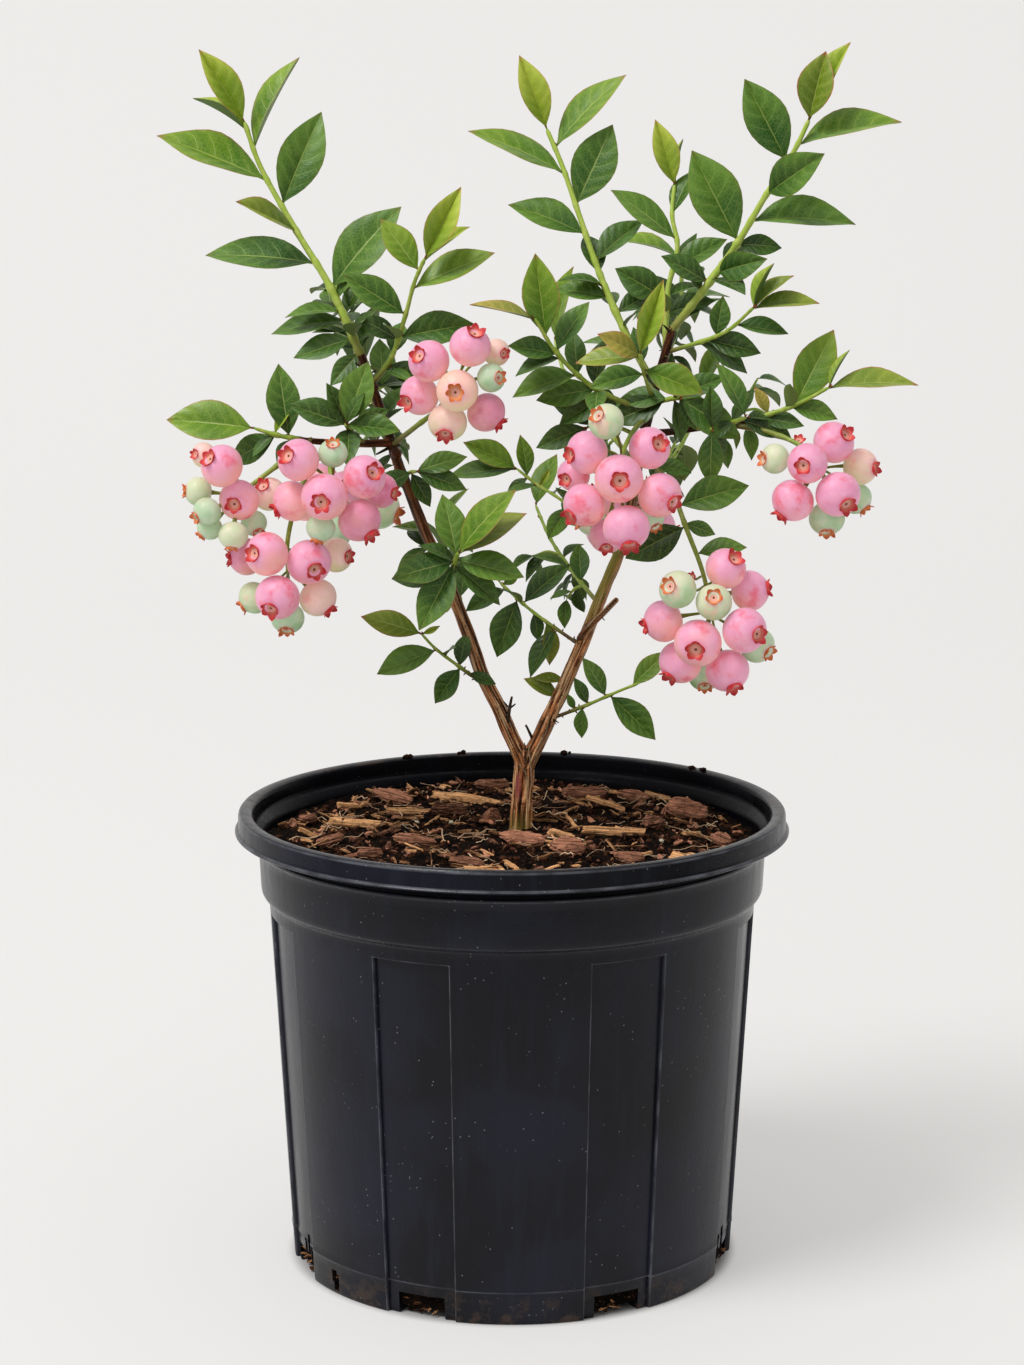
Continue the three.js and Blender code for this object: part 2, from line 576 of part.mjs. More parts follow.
function buildPot() {
  const ledge = BODY_TOP_RADIUS - WALL;
  const shell = turned([
    [0, 0],
    [BASE_RADIUS, 0],
    [BODY_TOP_RADIUS, STEP_Z],
    [BAND_RADIUS, STEP_Z + 3],
    [BAND_RADIUS + 0.6, BAND_TOP_Z - 1],
    [LIP_RADIUS - 1.6, BAND_TOP_Z],
    [LIP_RADIUS, BAND_TOP_Z + 2.2],
    [LIP_RADIUS, LIP_Z + 1],
    [LIP_RADIUS - 1.5, POT_HEIGHT - 0.5],
    [LIP_RADIUS - 3, POT_HEIGHT],
    [MOUTH_RADIUS, POT_HEIGHT],
    [BAND_RADIUS - WALL + 1.2, LIP_Z],
    [BAND_RADIUS - WALL, STEP_Z + 7],
    [ledge, STEP_Z + 5],
    [ledge, STEP_Z],
    [BASE_RADIUS - WALL, FLOOR],
    [0, FLOOR],
  ], POT_SIDES);
  const cuts = PANEL_BEARINGS.flatMap((bearing) => {
    const sunk = [outerRadius(-1) - PANEL_DEPTH, outerRadius(PANEL_TOP_Z) - PANEL_DEPTH];
    const inside = BASE_RADIUS - NOTCH_REACH;
    return [
      arcBlock(bearing, PANEL_SPAN, sunk, LIP_RADIUS, -1, PANEL_TOP_Z, 3),
      arcBlock(bearing, NOTCH_SPAN, [inside, inside], LIP_RADIUS, -1, NOTCH_HEIGHT, 1),
    ];
  });
  return shell.subtract(Manifold.union(cuts));
}

// Height of the crowned surface at a distance from the middle.
function mixHeight(radius) {
  const share = THREE.MathUtils.clamp((radius - GROUND_RADIUS) / (BAND_RADIUS - GROUND_RADIUS), 0, 1);
  return GROUND_Z - (GROUND_Z - MIX_EDGE_Z) * share * share;
}

function buildMix() {
  const clear = WALL + SEAT;
  const slack = clear + MIX_SLACK;
  const shoulder = (GROUND_RADIUS + BAND_RADIUS) / 2;
  const mound = turned([
    [0, FLOOR + SEAT],
    [BASE_RADIUS - slack, FLOOR + SEAT],
    [BODY_TOP_RADIUS - slack, STEP_Z],
    [BODY_TOP_RADIUS - slack, STEP_Z + 8],
    [BAND_RADIUS - slack, STEP_Z + 9],
    [BAND_RADIUS - clear, MIX_EDGE_Z],
    [shoulder, mixHeight(shoulder)],
    [GROUND_RADIUS, GROUND_Z],
    [0, GROUND_Z],
  ], MIX_SIDES);
  const chips = BARK_CHIPS.map(([x, y, length, width, thick, turn]) => {
    const chip = new THREE.BoxGeometry(length, width, thick);
    chip.rotateX(rad(turn / 2)).rotateY(rad(turn / 4)).rotateZ(rad(turn));
    return toSolid(chip.translate(x, y, mixHeight(Math.hypot(x, y)) + CHIP_LIFT));
  });
  return fuse([mound, ...chips]);
}

// ---------------------------------------------------------------------------------------------------------
// Limbs
// ---------------------------------------------------------------------------------------------------------

// A limb's solid, or with extra the room round it, which is that much larger at its ends too.
function limbTube({ path, radii, swell }, extra) {
  const points = path.map(vec);
  const grow = (end, next) => end.addScaledVector(end.clone().sub(next).normalize(), extra);
  grow(points[0], points[1]);
  grow(points.at(-1), points.at(-2));
  const curve = new THREE.CatmullRomCurve3(points, false, 'centripetal');
  const steps = Math.max(3, Math.round(curve.getLength() / LIMB_STEP));
  const width = (t) => radii[0] + (radii[1] - radii[0]) * t + swell * (1 - t) ** 4 + extra;
  return tube(curve, width, LIMB_SIDES, steps);
}

function buildLimb(limb) {
  let solid = limbTube(limb, 0);
  if (limb.name === 'trunk') solid = solid.trimByPlane([0, 0, 1], GROUND_Z + SEAT);
  else solid = rooted(solid);
  take(limb.name, solid);
  limbRooms.push(limbTube(limb, SEAT));
  return solid;
}

// ---------------------------------------------------------------------------------------------------------
// Leaves and shoots
// ---------------------------------------------------------------------------------------------------------

// A leaf from base along dir, its upper face towards face. It is thickest at the midrib, which is a keel
// under the blade, and its tip falls.
function leafSolid(base, dir, face, length) {
  const stations = length < SMALL_LEAF ? SMALL_LEAF_STATIONS : LEAF_STATIONS;
  const up = face.clone().addScaledVector(dir, -face.dot(dir)).normalize();
  const right = dir.clone().cross(up);
  const at = (share, across, above) => base.clone()
    .addScaledVector(dir, length * share)
    .addScaledVector(right, across)
    .addScaledVector(up, above - LEAF_BEND * length * share * share);
  const rings = stations.map(([share, breadth]) => {
    const half = (LEAF_WIDTH * length * breadth) / 2;
    return [at(share, half, 0), at(share, 0, -LEAF_THICK * length), at(share, -half, 0)];
  });
  return loft(rings, at(1, 0, 0));
}

// A leaf given by its bearings, as SHOOTS lists it.
function aimedLeaf(stem, [along, aim, length, lean, roll]) {
  const dir = new THREE.Vector3(Math.cos(rad(aim)) * Math.cos(rad(lean)), -Math.sin(rad(lean)),
    Math.sin(rad(aim)) * Math.cos(rad(lean)));
  const front = new THREE.Vector3(0, -1, 0);
  front.addScaledVector(dir, -front.dot(dir)).normalize();
  const face = front.applyAxisAngle(dir, rad(dir.x < 0 ? roll : -roll));
  return leafSolid(onAxis(stem, along), dir, face, length);
}

// A leaf by rule: each stands a golden angle round the stem from the last, and looks to the stem's tip.
function ruledLeaf(stem, along, turn, length, wobble) {
  const axis = stem.curve.getTangentAt(along);
  const side = new THREE.Vector3(0, 0, 1).addScaledVector(axis, -axis.z).normalize();
  const out = side.applyAxisAngle(axis, rad(turn));
  const spread = rad(SPREAD + wobble);
  const dir = axis.clone().multiplyScalar(Math.cos(spread)).addScaledVector(out, Math.sin(spread));
  const face = axis.clone().multiplyScalar(FACE_ALONG).add(new THREE.Vector3(0, 0, FACE_UP));
  return leafSolid(onAxis(stem, along), dir, face, length);
}

// Tries a piece in a few ways, and takes the first that is clear of the other nodes.
function firstClear(owner, makers) {
  for (const make of makers) {
    const piece = make();
    if (isClear(owner, piece)) return [piece];
  }
  return [];
}

function aimedLeaves(owner, stem, leaves) {
  return leaves.flatMap(([along, aim, length, lean, roll]) => firstClear(owner, NUDGES.map(
    ([turn, tip]) => () => aimedLeaf(stem, [along, aim + turn, length, lean + tip, roll]),
  )));
}

function ruledLeaves(owner, stem, seed, [count, from, to, small, large]) {
  const roll = dice(seed);
  const pieces = [];
  const start = 360 * roll();
  for (let k = 0; k < count; k++) {
    const along = from + ((to - from) * (k + 1)) / count;
    const length = small + (large - small) * roll();
    const wobble = WOBBLE * (roll() - 0.5);
    const turn = start + GOLDEN_ANGLE * k;
    pieces.push(...firstClear(owner, Array.from({ length: TRIES }, (_, i) => (
      () => ruledLeaf(stem, along, turn + TRY_TURN * i, length * (1 - TRY_SHRINK * i), wobble)
    ))));
  }
  return pieces;
}

// The bare stem of a shoot or a bunch. All stems are laid out before any leaf or berry.
function buildStem({ name, stem, radii }) {
  const curve = curveThrough(stem);
  const steps = Math.max(2, Math.round(curve.getLength() / STEM_STEP));
  const solid = rooted(tube(curve, (t) => radii[0] + (radii[1] - radii[0]) * t, STEM_SIDES, steps));
  take(name, solid);
  return { curve, steps, solid };
}

function buildShoot({ name, seed, fill, leaves }, stem) {
  const listed = aimedLeaves(name, stem, leaves);
  const added = ruledLeaves(name, stem, seed, fill);
  const whole = fuse([stem.solid, ...listed, ...added]);
  take(name, whole);
  return whole;
}

// ---------------------------------------------------------------------------------------------------------
// Berries
// ---------------------------------------------------------------------------------------------------------

function berrySolid({ middle, facing, diameter }) {
  const radius = diameter / 2;
  const berry = new THREE.LatheGeometry(
    BERRY_PROFILE.map(([r, h]) => new THREE.Vector2(r * radius, h * radius)),
    BERRY_SIDES,
  );
  const turn = new THREE.Quaternion().setFromUnitVectors(new THREE.Vector3(0, 1, 0), facing);
  return toSolid(berry.applyQuaternion(turn).translate(middle.x, middle.y, middle.z));
}

// Sets the listed berries one behind another, each just far enough back to touch those before it.
function packedBerries({ front, berries }) {
  const placed = [];
  for (const [x, z, diameter, aim, turn] of berries) {
    const middle = new THREE.Vector3(x, front, z);
    const touches = (other) => (
      other.middle.distanceTo(middle) < (PACKING * (other.diameter + diameter)) / 2
    );
    while (placed.some(touches)) middle.y += BERRY_STEP;
    const facing = new THREE.Vector3(Math.sin(rad(turn)) * Math.cos(rad(aim)), -Math.cos(rad(turn)),
      Math.sin(rad(turn)) * Math.sin(rad(aim)));
    placed.push({ middle, facing, diameter });
  }
  return placed;
}

// Deals berries out by the golden angle round the heart of a bunch, looking away from it.
function ruledBerries({ seed, count, stem }) {
  const roll = dice(seed);
  const heart = vec(stem.at(-1));
  const placed = [];
  for (let k = 0; k < count; k++) {
    const diameter = BACK_BERRY[0] + (BACK_BERRY[1] - BACK_BERRY[0]) * roll();
    const height = HEART_TILT * (1 - (2 * k + 1) / count);
    const angle = rad(GOLDEN_ANGLE * k + HEART_JITTER * roll());
    const level = Math.sqrt(1 - height * height);
    const facing = new THREE.Vector3(level * Math.cos(angle), level * Math.sin(angle), height);
    const middle = heart.clone().addScaledVector(facing, HEART_REACH);
    const touches = (other) => (
      other.middle.distanceTo(middle) < (PACKING * (other.diameter + diameter)) / 2
    );
    while (placed.some(touches)) middle.addScaledVector(facing, BERRY_STEP);
    placed.push({ middle, facing, diameter });
  }
  return placed;
}

// Each berry hangs on its own pedicel from the nearest fork of the bunch's stem.
function hungBerry(name, forks, { middle, facing, diameter }) {
  return firstClear(name, BERRY_SHIFTS.map((shift) => () => {
    const place = middle.clone().setY(middle.y + shift);
    const fork = forks.reduce((best, p) => (p.distanceTo(place) < best.distanceTo(place) ? p : best));
    const pedicel = tube(new THREE.LineCurve3(fork, place), () => PEDICEL_RADIUS, STEM_SIDES, 1);
    return pedicel.add(berrySolid({ middle: place, facing, diameter }));
  }));
}

function buildBunch({ name, leaves = [] }, berries, stem) {
  const forks = FORKS.map((share) => onAxis(stem, share));
  const hung = berries.flatMap((berry) => hungBerry(name, forks, berry));
  const whole = fuse([stem.solid, ...hung, ...aimedLeaves(name, stem, leaves)]);
  take(name, whole);
  return whole;
}

// ---------------------------------------------------------------------------------------------------------
// The whole plant
// ---------------------------------------------------------------------------------------------------------

const BLACK_PLASTIC = [0x1d2126, 0.45];
const BROWN_MIX = [0x3a2519, 0.95];
const BARK = [0x6b4630, 0.85];
const DEAD_WOOD = [0x54443a, 0.9];
const LEAF_GREEN = [0x3f7a2c, 0.5];
const YOUNG_GREEN = [0x7fae38, 0.5];
const BERRY_PINK = [0xf08ca4, 0.5];

addNode('pot', buildPot(), ...BLACK_PLASTIC);
addNode('potting_mix', buildMix(), ...BROWN_MIX);
for (const limb of LIMBS) {
  const wood = limb.name === 'dead_stub' ? DEAD_WOOD : BARK;
  addNode(limb.name, buildLimb(limb), ...wood);
}

const bunches = [...BUNCHES, ...BACK_BUNCHES];
const stems = new Map();
for (const bunch of bunches) stems.set(bunch.name, buildStem({ ...bunch, radii: STALK_RADII }));
for (const shoot of SHOOTS) stems.set(shoot.name, buildStem(shoot));
for (const bunch of bunches) {
  const berries = bunch.berries ? packedBerries(bunch) : ruledBerries(bunch);
  addNode(bunch.name, buildBunch(bunch, berries, stems.get(bunch.name)), ...BERRY_PINK);
}
for (const shoot of SHOOTS) {
  const green = shoot.name.includes('leader') ? YOUNG_GREEN : LEAF_GREEN;
  addNode(shoot.name, buildShoot(shoot, stems.get(shoot.name)), ...green);
}

export default plant;
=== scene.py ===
# A blueberry bush with pink fruit in a black nursery pot.
#
# Shapes are worked out in millimetres, +Z up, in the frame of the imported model, and each piece is brought to
# metres as it is made. The limbs, shoots and bunches follow the same lists and rules as the solids that they
# replace, and go on from them to finer twigs and leaves.

import math

import bpy
import numpy as np
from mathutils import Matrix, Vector, kdtree, noise


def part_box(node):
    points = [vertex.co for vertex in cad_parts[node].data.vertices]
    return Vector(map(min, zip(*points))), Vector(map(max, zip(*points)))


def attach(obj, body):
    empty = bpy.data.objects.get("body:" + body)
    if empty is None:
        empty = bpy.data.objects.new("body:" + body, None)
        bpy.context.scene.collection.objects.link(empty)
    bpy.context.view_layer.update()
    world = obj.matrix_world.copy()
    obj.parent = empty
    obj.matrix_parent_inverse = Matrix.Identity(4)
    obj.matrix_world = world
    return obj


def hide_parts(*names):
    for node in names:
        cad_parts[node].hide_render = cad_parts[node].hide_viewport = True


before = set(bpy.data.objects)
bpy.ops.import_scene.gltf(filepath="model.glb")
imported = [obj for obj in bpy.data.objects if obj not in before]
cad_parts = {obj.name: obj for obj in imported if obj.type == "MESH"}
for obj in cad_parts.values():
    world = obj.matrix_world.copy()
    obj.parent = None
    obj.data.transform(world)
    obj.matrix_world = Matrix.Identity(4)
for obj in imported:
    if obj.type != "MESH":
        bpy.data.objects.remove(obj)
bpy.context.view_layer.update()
MM = 0.001

# ------------------------------------------------------------------------------------------------------------
# Sizes
# ------------------------------------------------------------------------------------------------------------

# Pot and potting mix
POT_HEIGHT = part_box("pot")[1].z / MM
LIP_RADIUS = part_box("pot")[1].x / MM
WALL = 1.9
FLOOR = 3
BASE_RADIUS = 90.5
BODY_TOP_RADIUS = 99
STEP_Z = 152.5
BAND_RADIUS = 102.2
PANEL_BEARINGS = (-71, -23.5, 27.5, 75, 119, 163, 207, 248)  # degrees from -Y towards +X
PANEL_SPAN = 18.5
PANEL_DEPTH = 1.7
PANEL_TOP_Z = 146
NOTCH_SPAN = 12.5
NOTCH_HEIGHT = 9
NOTCH_REACH = 12
CRACKS = (  # broken places in the foot: bearing, width, bottom and top
    (-50.5, 3.2, 1.5, 8.5), (-51.3, 3.2, 5, 10), (-64.6, 3.2, -1, 12.5), (-66.7, 2.8, -1, 17),
    (-69.2, 3.4, -1, 14), (66.4, 3.8, -1, 12), (69.2, 3.2, -1, 15.5), (72.6, 3.6, -1, 17.5),
)
CRACK_REACH = (84, 100)
MIX_EDGE_Z = 174.5
GROUND_Z = 178
GROUND_RADIUS = 15

# Limbs: path, radius at both ends, and how much wider the root end is.
LIMBS = {
    "trunk": ([(3, 0, 168), (3.5, 0, 180), (4.4, 0, 194), (5.3, 0, 209)], 4.3, 3.9, 1.4),
    "left_stem": (
        [(5, 0, 205), (-2, 0, 220), (-12, 1, 242), (-25, 3, 277), (-40, 3, 312), (-50, 3, 341),
         (-60, 4, 370)],
        3.4, 1.8, 0,
    ),
    "right_stem": (
        [(6, 0, 205), (12, 0, 217), (22, 0, 239), (35, 1, 271), (45, 2, 297), (52, 3, 335), (57, 4, 356),
         (64, 5, 381)],
        3.4, 1.7, 0,
    ),
    "left_branch": ([(-48, 3, 335), (-66, -7, 336), (-84, -14, 338)], 1.7, 1.2, 0.3),
    "right_branch": ([(52, 3, 338), (72, -1, 341), (93, -7, 344)], 1.6, 1.1, 0.3),
    "dead_stub": ([(29, 0, 258), (35, -6, 266), (42, -10, 274)], 1.7, 1.1, 0.2),
}

# Leafy shoots: radius at both ends of the stem, seed, the leaves that the rule adds (count, from, to,
# smallest, largest), the stem from inside its limb to the tip, and the leaves given one by one: place along
# the stem, aim, length, lean, roll and tint.
SHOOTS = {
    "shoot_left_leader": (1.9, 1.0, 11, (6, 0, 0.3, 15, 22),
        [(-59, 4, 367), (-72, 8, 396), (-86, 12, 419), (-100, 15, 444), (-106, 16, 461)],
        [(1, 120, 33, 10, 20, "y"), (0.97, 140, 26, -15, 60, "y"), (0.9, 68, 40, -5, 55, "f"),
         (0.77, 155, 47, 0, 50, "f"), (0.66, 68, 40, 0, 0, "m"), (0.55, 146, 32, 40, 58, "o"),
         (0.41, 170, 44, 0, 50, "m"), (0.3, 55, 42, 5, 25, "m"), (0.17, -178, 30, 0, 50, "m"),
         (0.1, -163, 25, 10, 30, "d"), (0.04, -135, 18, 30, 10, "d")]),
    "shoot_left_fork": (1.3, 0.8, 12, (3, 0.05, 0.4, 14, 20),
        [(-56, 4, 358), (-48, -3, 369), (-42, -8, 386), (-38, -12, 400), (-34, -16, 409)],
        [(1, 63, 31, 10, 5, "y"), (0.98, 43, 24, -20, 40, "y"), (0.9, 125, 25, 0, 20, "f"),
         (0.77, 26, 35, 0, 45, "f"), (0.58, 145, 29, 5, 20, "m"), (0.42, 12, 30, 0, 20, "m"),
         (0.4, 146, 18, 0, 30, "d"), (0.2, -20, 18, 10, 20, "d")]),
    "shoot_left_side": (1.1, 0.8, 13, (1, 0.3, 0.6, 12, 16),
        [(-82, -13, 338), (-92, -16, 340), (-101, -18, 343)],
        [(1, 172, 35, 0, 30, "f"), (0.3, 98, 29, 0, 0, "m"), (0.6, 60, 13, -15, 30, "y"),
         (0.55, -150, 24, -15, 20, "m"), (0.25, -78, 20, -20, 20, "d"), (0.1, -130, 18, -25, 20, "d")]),
    "rosette_left": (1.1, 0.8, 14, (2, 0.3, 1, 14, 20),
        [(-59, -4, 336), (-64, -13, 342), (-65, -21, 345)],
        [(1, 70, 26, 5, 10, "m"), (1, -5, 22, 15, 30, "m"), (0.9, 157, 24, 10, 30, "d"),
         (0.8, 150, 20, -10, 40, "d"), (0.7, 110, 20, 20, 20, "d"), (0.5, 30, 18, -20, 20, "d")]),
    "shoot_centre_leader": (1.8, 1.0, 15, (4, 0.08, 0.4, 14, 22),
        [(57, 4, 357), (43, 12, 383), (34, 18, 404), (27, 22, 424), (20, 27, 444), (14, 30, 458)],
        [(1, 110, 31, 5, 10, "y"), (0.93, 53, 40, 0, 50, "f"), (0.83, 150, 42, 0, 55, "f"),
         (0.71, 65, 35, 0, 10, "m"), (0.6, 153, 33, 0, 35, "m"), (0.5, 45, 26, -10, 35, "d"),
         (0.45, 110, 20, -30, 20, "d"), (0.36, 165, 22, 0, 40, "m"), (0.3, 30, 20, -15, 30, "d")]),
    "shoot_second_leader": (1.5, 0.9, 16, (3, 0.05, 0.35, 14, 20),
        [(61, 4, 369), (62, 12, 394), (66, 16, 412), (64, 20, 424), (65, 24, 436)],
        [(1, 105, 27, 5, 5, "y"), (1, 85, 20, -20, 60, "y"), (0.83, 68, 20, -10, 40, "m"),
         (0.68, 140, 33, 5, 45, "m"), (0.5, 33, 25, 0, 35, "m"), (0.33, 148, 24, 0, 10, "d"),
         (0.25, 20, 20, 10, 30, "d")]),
    "shoot_right_leader": (1.9, 1.0, 17, (4, 0.06, 0.34, 15, 22),
        [(63, 5, 379), (76, 2, 396), (89, -3, 415), (99, -8, 433), (110, -11, 451), (115, -12, 462)],
        [(1, 78, 27, 5, 15, "o"), (1, 63, 35, -10, 40, "y"), (0.9, 19, 41, 0, 55, "f"),
         (0.82, 118, 36, 0, 5, "m"), (0.67, 40, 32, 40, 20, "m"), (0.55, 7, 41, 0, 45, "m"),
         (0.45, 118, 40, 0, 5, "m"), (0.44, 0, 18, 0, 20, "d"), (0.3, 22, 24, 45, 10, "m"),
         (0.25, 150, 22, 10, 30, "d")]),
    "shoot_right_side": (1.1, 0.7, 18, (2, 0.15, 0.5, 14, 18),
        [(62, 5, 371), (84, -8, 380), (94, -18, 390)],
        [(1, 70, 19, 0, 60, "y"), (1, 47, 20, 0, 55, "o"), (1, 10, 26, 0, 50, "o"),
         (0.74, -6, 21, 5, 40, "m"), (0.4, -10, 22, 10, 20, "d"), (0.35, -28, 22, 5, 40, "d")]),
    "shoot_front": (1.3, 0.8, 19, (2, 0.4, 0.8, 12, 16),
        [(56, 4, 353), (52, -22, 364), (49, -42, 374)],
        [(1, 73, 30, 10, 5, "y"), (0.95, 146, 21, 30, 30, "r"), (0.95, 180, 25, 0, 45, "o"),
         (0.7, -20, 25, 15, 20, "f"), (0.6, -172, 22, 10, 30, "m")]),
    "shoot_inner_left": (1.3, 0.8, 20, (3, 0.2, 0.7, 14, 20),
        [(54, 3, 347), (31, -8, 359), (17, -16, 373), (9, -21, 386)],
        [(0.86, 98, 33, 5, 0, "f"), (1, 163, 26, 0, 64, "r"), (0.75, 60, 24, -10, 30, "m"),
         (0.73, 168, 20, 10, 30, "m"), (0.54, -168, 27, 0, 40, "m"), (0.38, -174, 24, 5, 20, "m"),
         (0.4, 80, 20, -10, 30, "d"), (0.3, -150, 22, 10, 20, "d")]),
    "shoot_inner_low": (1.1, 0.7, 21, (3, 0.3, 1, 14, 20),
        [(52, 3, 337), (40, 2, 342), (30, -3, 342)],
        [(1, -160, 22, 5, 15, "d"), (0.8, 150, 20, 0, 30, "d"), (0.6, 100, 18, 10, 20, "d"),
         (1, -120, 18, -10, 30, "d")]),
    "shoot_right_side_low": (1.1, 0.8, 22, (2, 0.1, 0.5, 11, 14),
        [(91, -6, 344), (112, -14, 352), (124, -18, 359)],
        [(1, 11, 35, 0, 55, "o"), (1, 67, 17, -10, 60, "y"), (0.6, 63, 33, 0, 5, "f"),
         (0.3, 115, 12, 0, 20, "r"), (0.55, -11, 19, 10, 30, "m"), (0.2, -8, 18, 15, 30, "d"),
         (0.12, -25, 18, 0, 30, "d")]),
    "rosette_right": (1.0, 0.8, 23, (1, 0.4, 1, 10, 14),
        [(83, -4, 342), (88, -11, 345), (92, -15, 347)],
        [(1, 113, 24, 0, 35, "m"), (0.8, -18, 19, 0, 30, "d"), (0.6, -150, 13, 0, 30, "d"),
         (0.5, 60, 12, -30, 20, "d")]),
    "sprig_right_branch": (0.9, 0.7, 39, (0, 0, 0, 0, 0),
        [(73, -1, 341), (77, -8, 342), (79, -12, 342)],
        [(1, 92, 17, 0, 10, "d"), (1, -93, 22, 5, 10, "m"), (0.8, -50, 14, -20, 20, "d"),
         (0.7, 150, 12, -10, 20, "d")]),
    "rosette_right_stem": (1.0, 0.8, 24, (3, 0.5, 1, 14, 18),
        [(56, 4, 350), (62, -3, 353), (66, -8, 354)],
        [(1, -32, 29, 10, 10, "m"), (1, 30, 20, 0, 30, "d"), (0.8, -75, 18, 0, 30, "d"),
         (0.5, -158, 24, 0, 20, "d"), (0.6, 175, 20, -10, 30, "m")]),
    "shoot_left_front": (1.3, 0.8, 25, (2, 0.3, 0.8, 13, 18),
        [(-27, 3, 279), (-24, -19, 287), (-21, -35, 296)],
        [(1, 56, 34, 15, 40, "f"), (0.97, 37, 31, 0, 50, "o"), (0.9, 99, 25, -5, 15, "m"),
         (0.85, -12, 28, 15, 35, "m"), (0.8, -169, 26, 20, 30, "m"), (0.75, -118, 30, 20, 10, "m"),
         (0.7, -35, 24, 10, 35, "d"), (0.55, -171, 25, -10, 20, "d")]),
    "sprig_left_stem": (0.9, 0.7, 26, (1, 0.5, 1, 12, 14),
        [(-44, 3, 322), (-41, -5, 324), (-38, -10, 325)],
        [(1, -16, 21, 10, 25, "m"), (1, 20, 21, 0, 30, "m"), (0.8, -157, 18, 15, 30, "m"),
         (0.7, -60, 16, 0, 20, "d")]),
    "shoot_lower_left": (0.9, 0.6, 27, (1, 0.3, 0.6, 9, 12),
        [(-11, 1, 237), (-22, -4, 246), (-31, -9, 254), (-36, -12, 260)],
        [(1, 159, 25, 5, 30, "o"), (0.73, -160, 26, 5, 35, "m"), (0.36, -129, 18, 5, 15, "m"),
         (1, 25, 8, 0, 0, "y"), (0.38, 80, 14, -10, 20, "d"), (0.25, -20, 12, 10, 20, "d")]),
    "shoot_middle": (0.9, 0.6, 28, (2, 0.4, 1, 11, 16),
        [(28, 0, 253), (7, 8, 267), (-5, 14, 277)],
        [(0.91, -154, 19, 5, 30, "d"), (0.76, -112, 25, 10, 10, "d"), (0.69, 45, 25, -5, 30, "d"),
         (0.96, 34, 8, 0, 0, "f"), (0.56, -77, 12, 0, 20, "d"), (0.41, -80, 18, 5, 30, "o"),
         (0.3, -125, 22, 20, 40, "d")]),
    "shoot_upper_left": (0.9, 0.6, 29, (3, 0.35, 0.8, 11, 16),
        [(43, 2, 292), (20, 10, 311), (10, 14, 317), (2, 16, 323)],
        [(1, 150, 24, 0, 25, "f"), (1, -178, 28, 0, 50, "m"), (0.9, 95, 17, 0, 20, "f"),
         (0.78, 60, 8, 0, 0, "y"), (0.89, -149, 11, 0, 30, "d"), (0.5, -126, 16, 0, 20, "m")]),
    "shoot_low_right": (0.9, 0.6, 30, (0, 0, 0, 0, 0),
        [(15, 0, 223), (30, -6, 230), (43, -12, 237), (51, -16, 241)],
        [(0.28, 116, 7, 0, 0, "m"), (0.36, -92, 13, 0, 20, "m"), (0.42, 114, 12, 0, 20, "d"),
         (0.62, 115, 18, 0, 30, "m"), (0.91, 46, 20, 0, 25, "f"), (0.66, -42, 26, 5, 20, "m")]),
    "shoot_back_left_high": (1.5, 0.8, 31, (11, 0.12, 1, 13, 19),
        [(-56, 3, 358), (-62, 30, 366), (-66, 54, 377), (-66, 70, 390)], []),
    "shoot_back_left_mid": (1.3, 0.8, 32, (9, 0.15, 1, 13, 21),
        [(-45, 3, 326), (-50, 34, 333), (-58, 62, 345), (-62, 82, 360)], []),
    "shoot_back_centre": (1.3, 0.8, 33, (9, 0.18, 1, 13, 20),
        [(50, 3, 326), (38, 32, 338), (24, 58, 352), (18, 76, 370)], []),
    "shoot_back_right_high": (1.5, 0.8, 34, (11, 0.12, 1, 14, 21),
        [(60, 5, 366), (66, 32, 376), (70, 56, 390), (70, 72, 405)], []),
    "shoot_back_right_mid": (1.3, 0.8, 35, (9, 0.15, 1, 12, 18),
        [(48, 3, 312), (62, 34, 320), (74, 62, 334), (80, 82, 348)], []),
    "shoot_back_low": (1.1, 0.7, 36, (9, 0.2, 1, 12, 18),
        [(35, 1, 270), (26, 26, 278), (16, 48, 290), (10, 62, 302)], []),
    "shoot_back_left_low": (1.1, 0.7, 37, (9, 0.2, 1, 12, 18),
        [(-20, 2, 263), (-22, 26, 271), (-28, 48, 282), (-30, 60, 296)], []),
    "shoot_back_right_side": (1.0, 0.7, 38, (7, 0.2, 1, 11, 16),
        [(86, -5, 343), (91, 16, 344), (96, 34, 347), (99, 48, 353)], []),
}
SHOOTS_RULED_ONLY = [name for name in SHOOTS if name.startswith("shoot_back")]
KNOBBLY = ("shoot_lower_left", "shoot_middle", "shoot_low_right")  # old at the foot, with scars of buds

# Leaves that grow straight from old wood, given as for the shoots.
LIMB_LEAVES = {"right_stem": [(0.2, 172, 14, -5, 50, "o"), (0.16, 146, 16, 0, 40, "o")]}

# Gaps in the crown as seen from the eye in front: left, right, bottom and top where the view crosses y = 0.
EYE = (0, -1277.5, 475.9)
OPENINGS = (
    (3, 35, 388, 404), (-76, -60, 356, 372), (82, 98, 348, 374), (3, 35, 340, 372), (66, 114, 332, 356),
    (-13, 19, 290, 308), (-29, -13, 260, 276), (18, 34, 402, 420), (-62, -46, 420, 436),
)

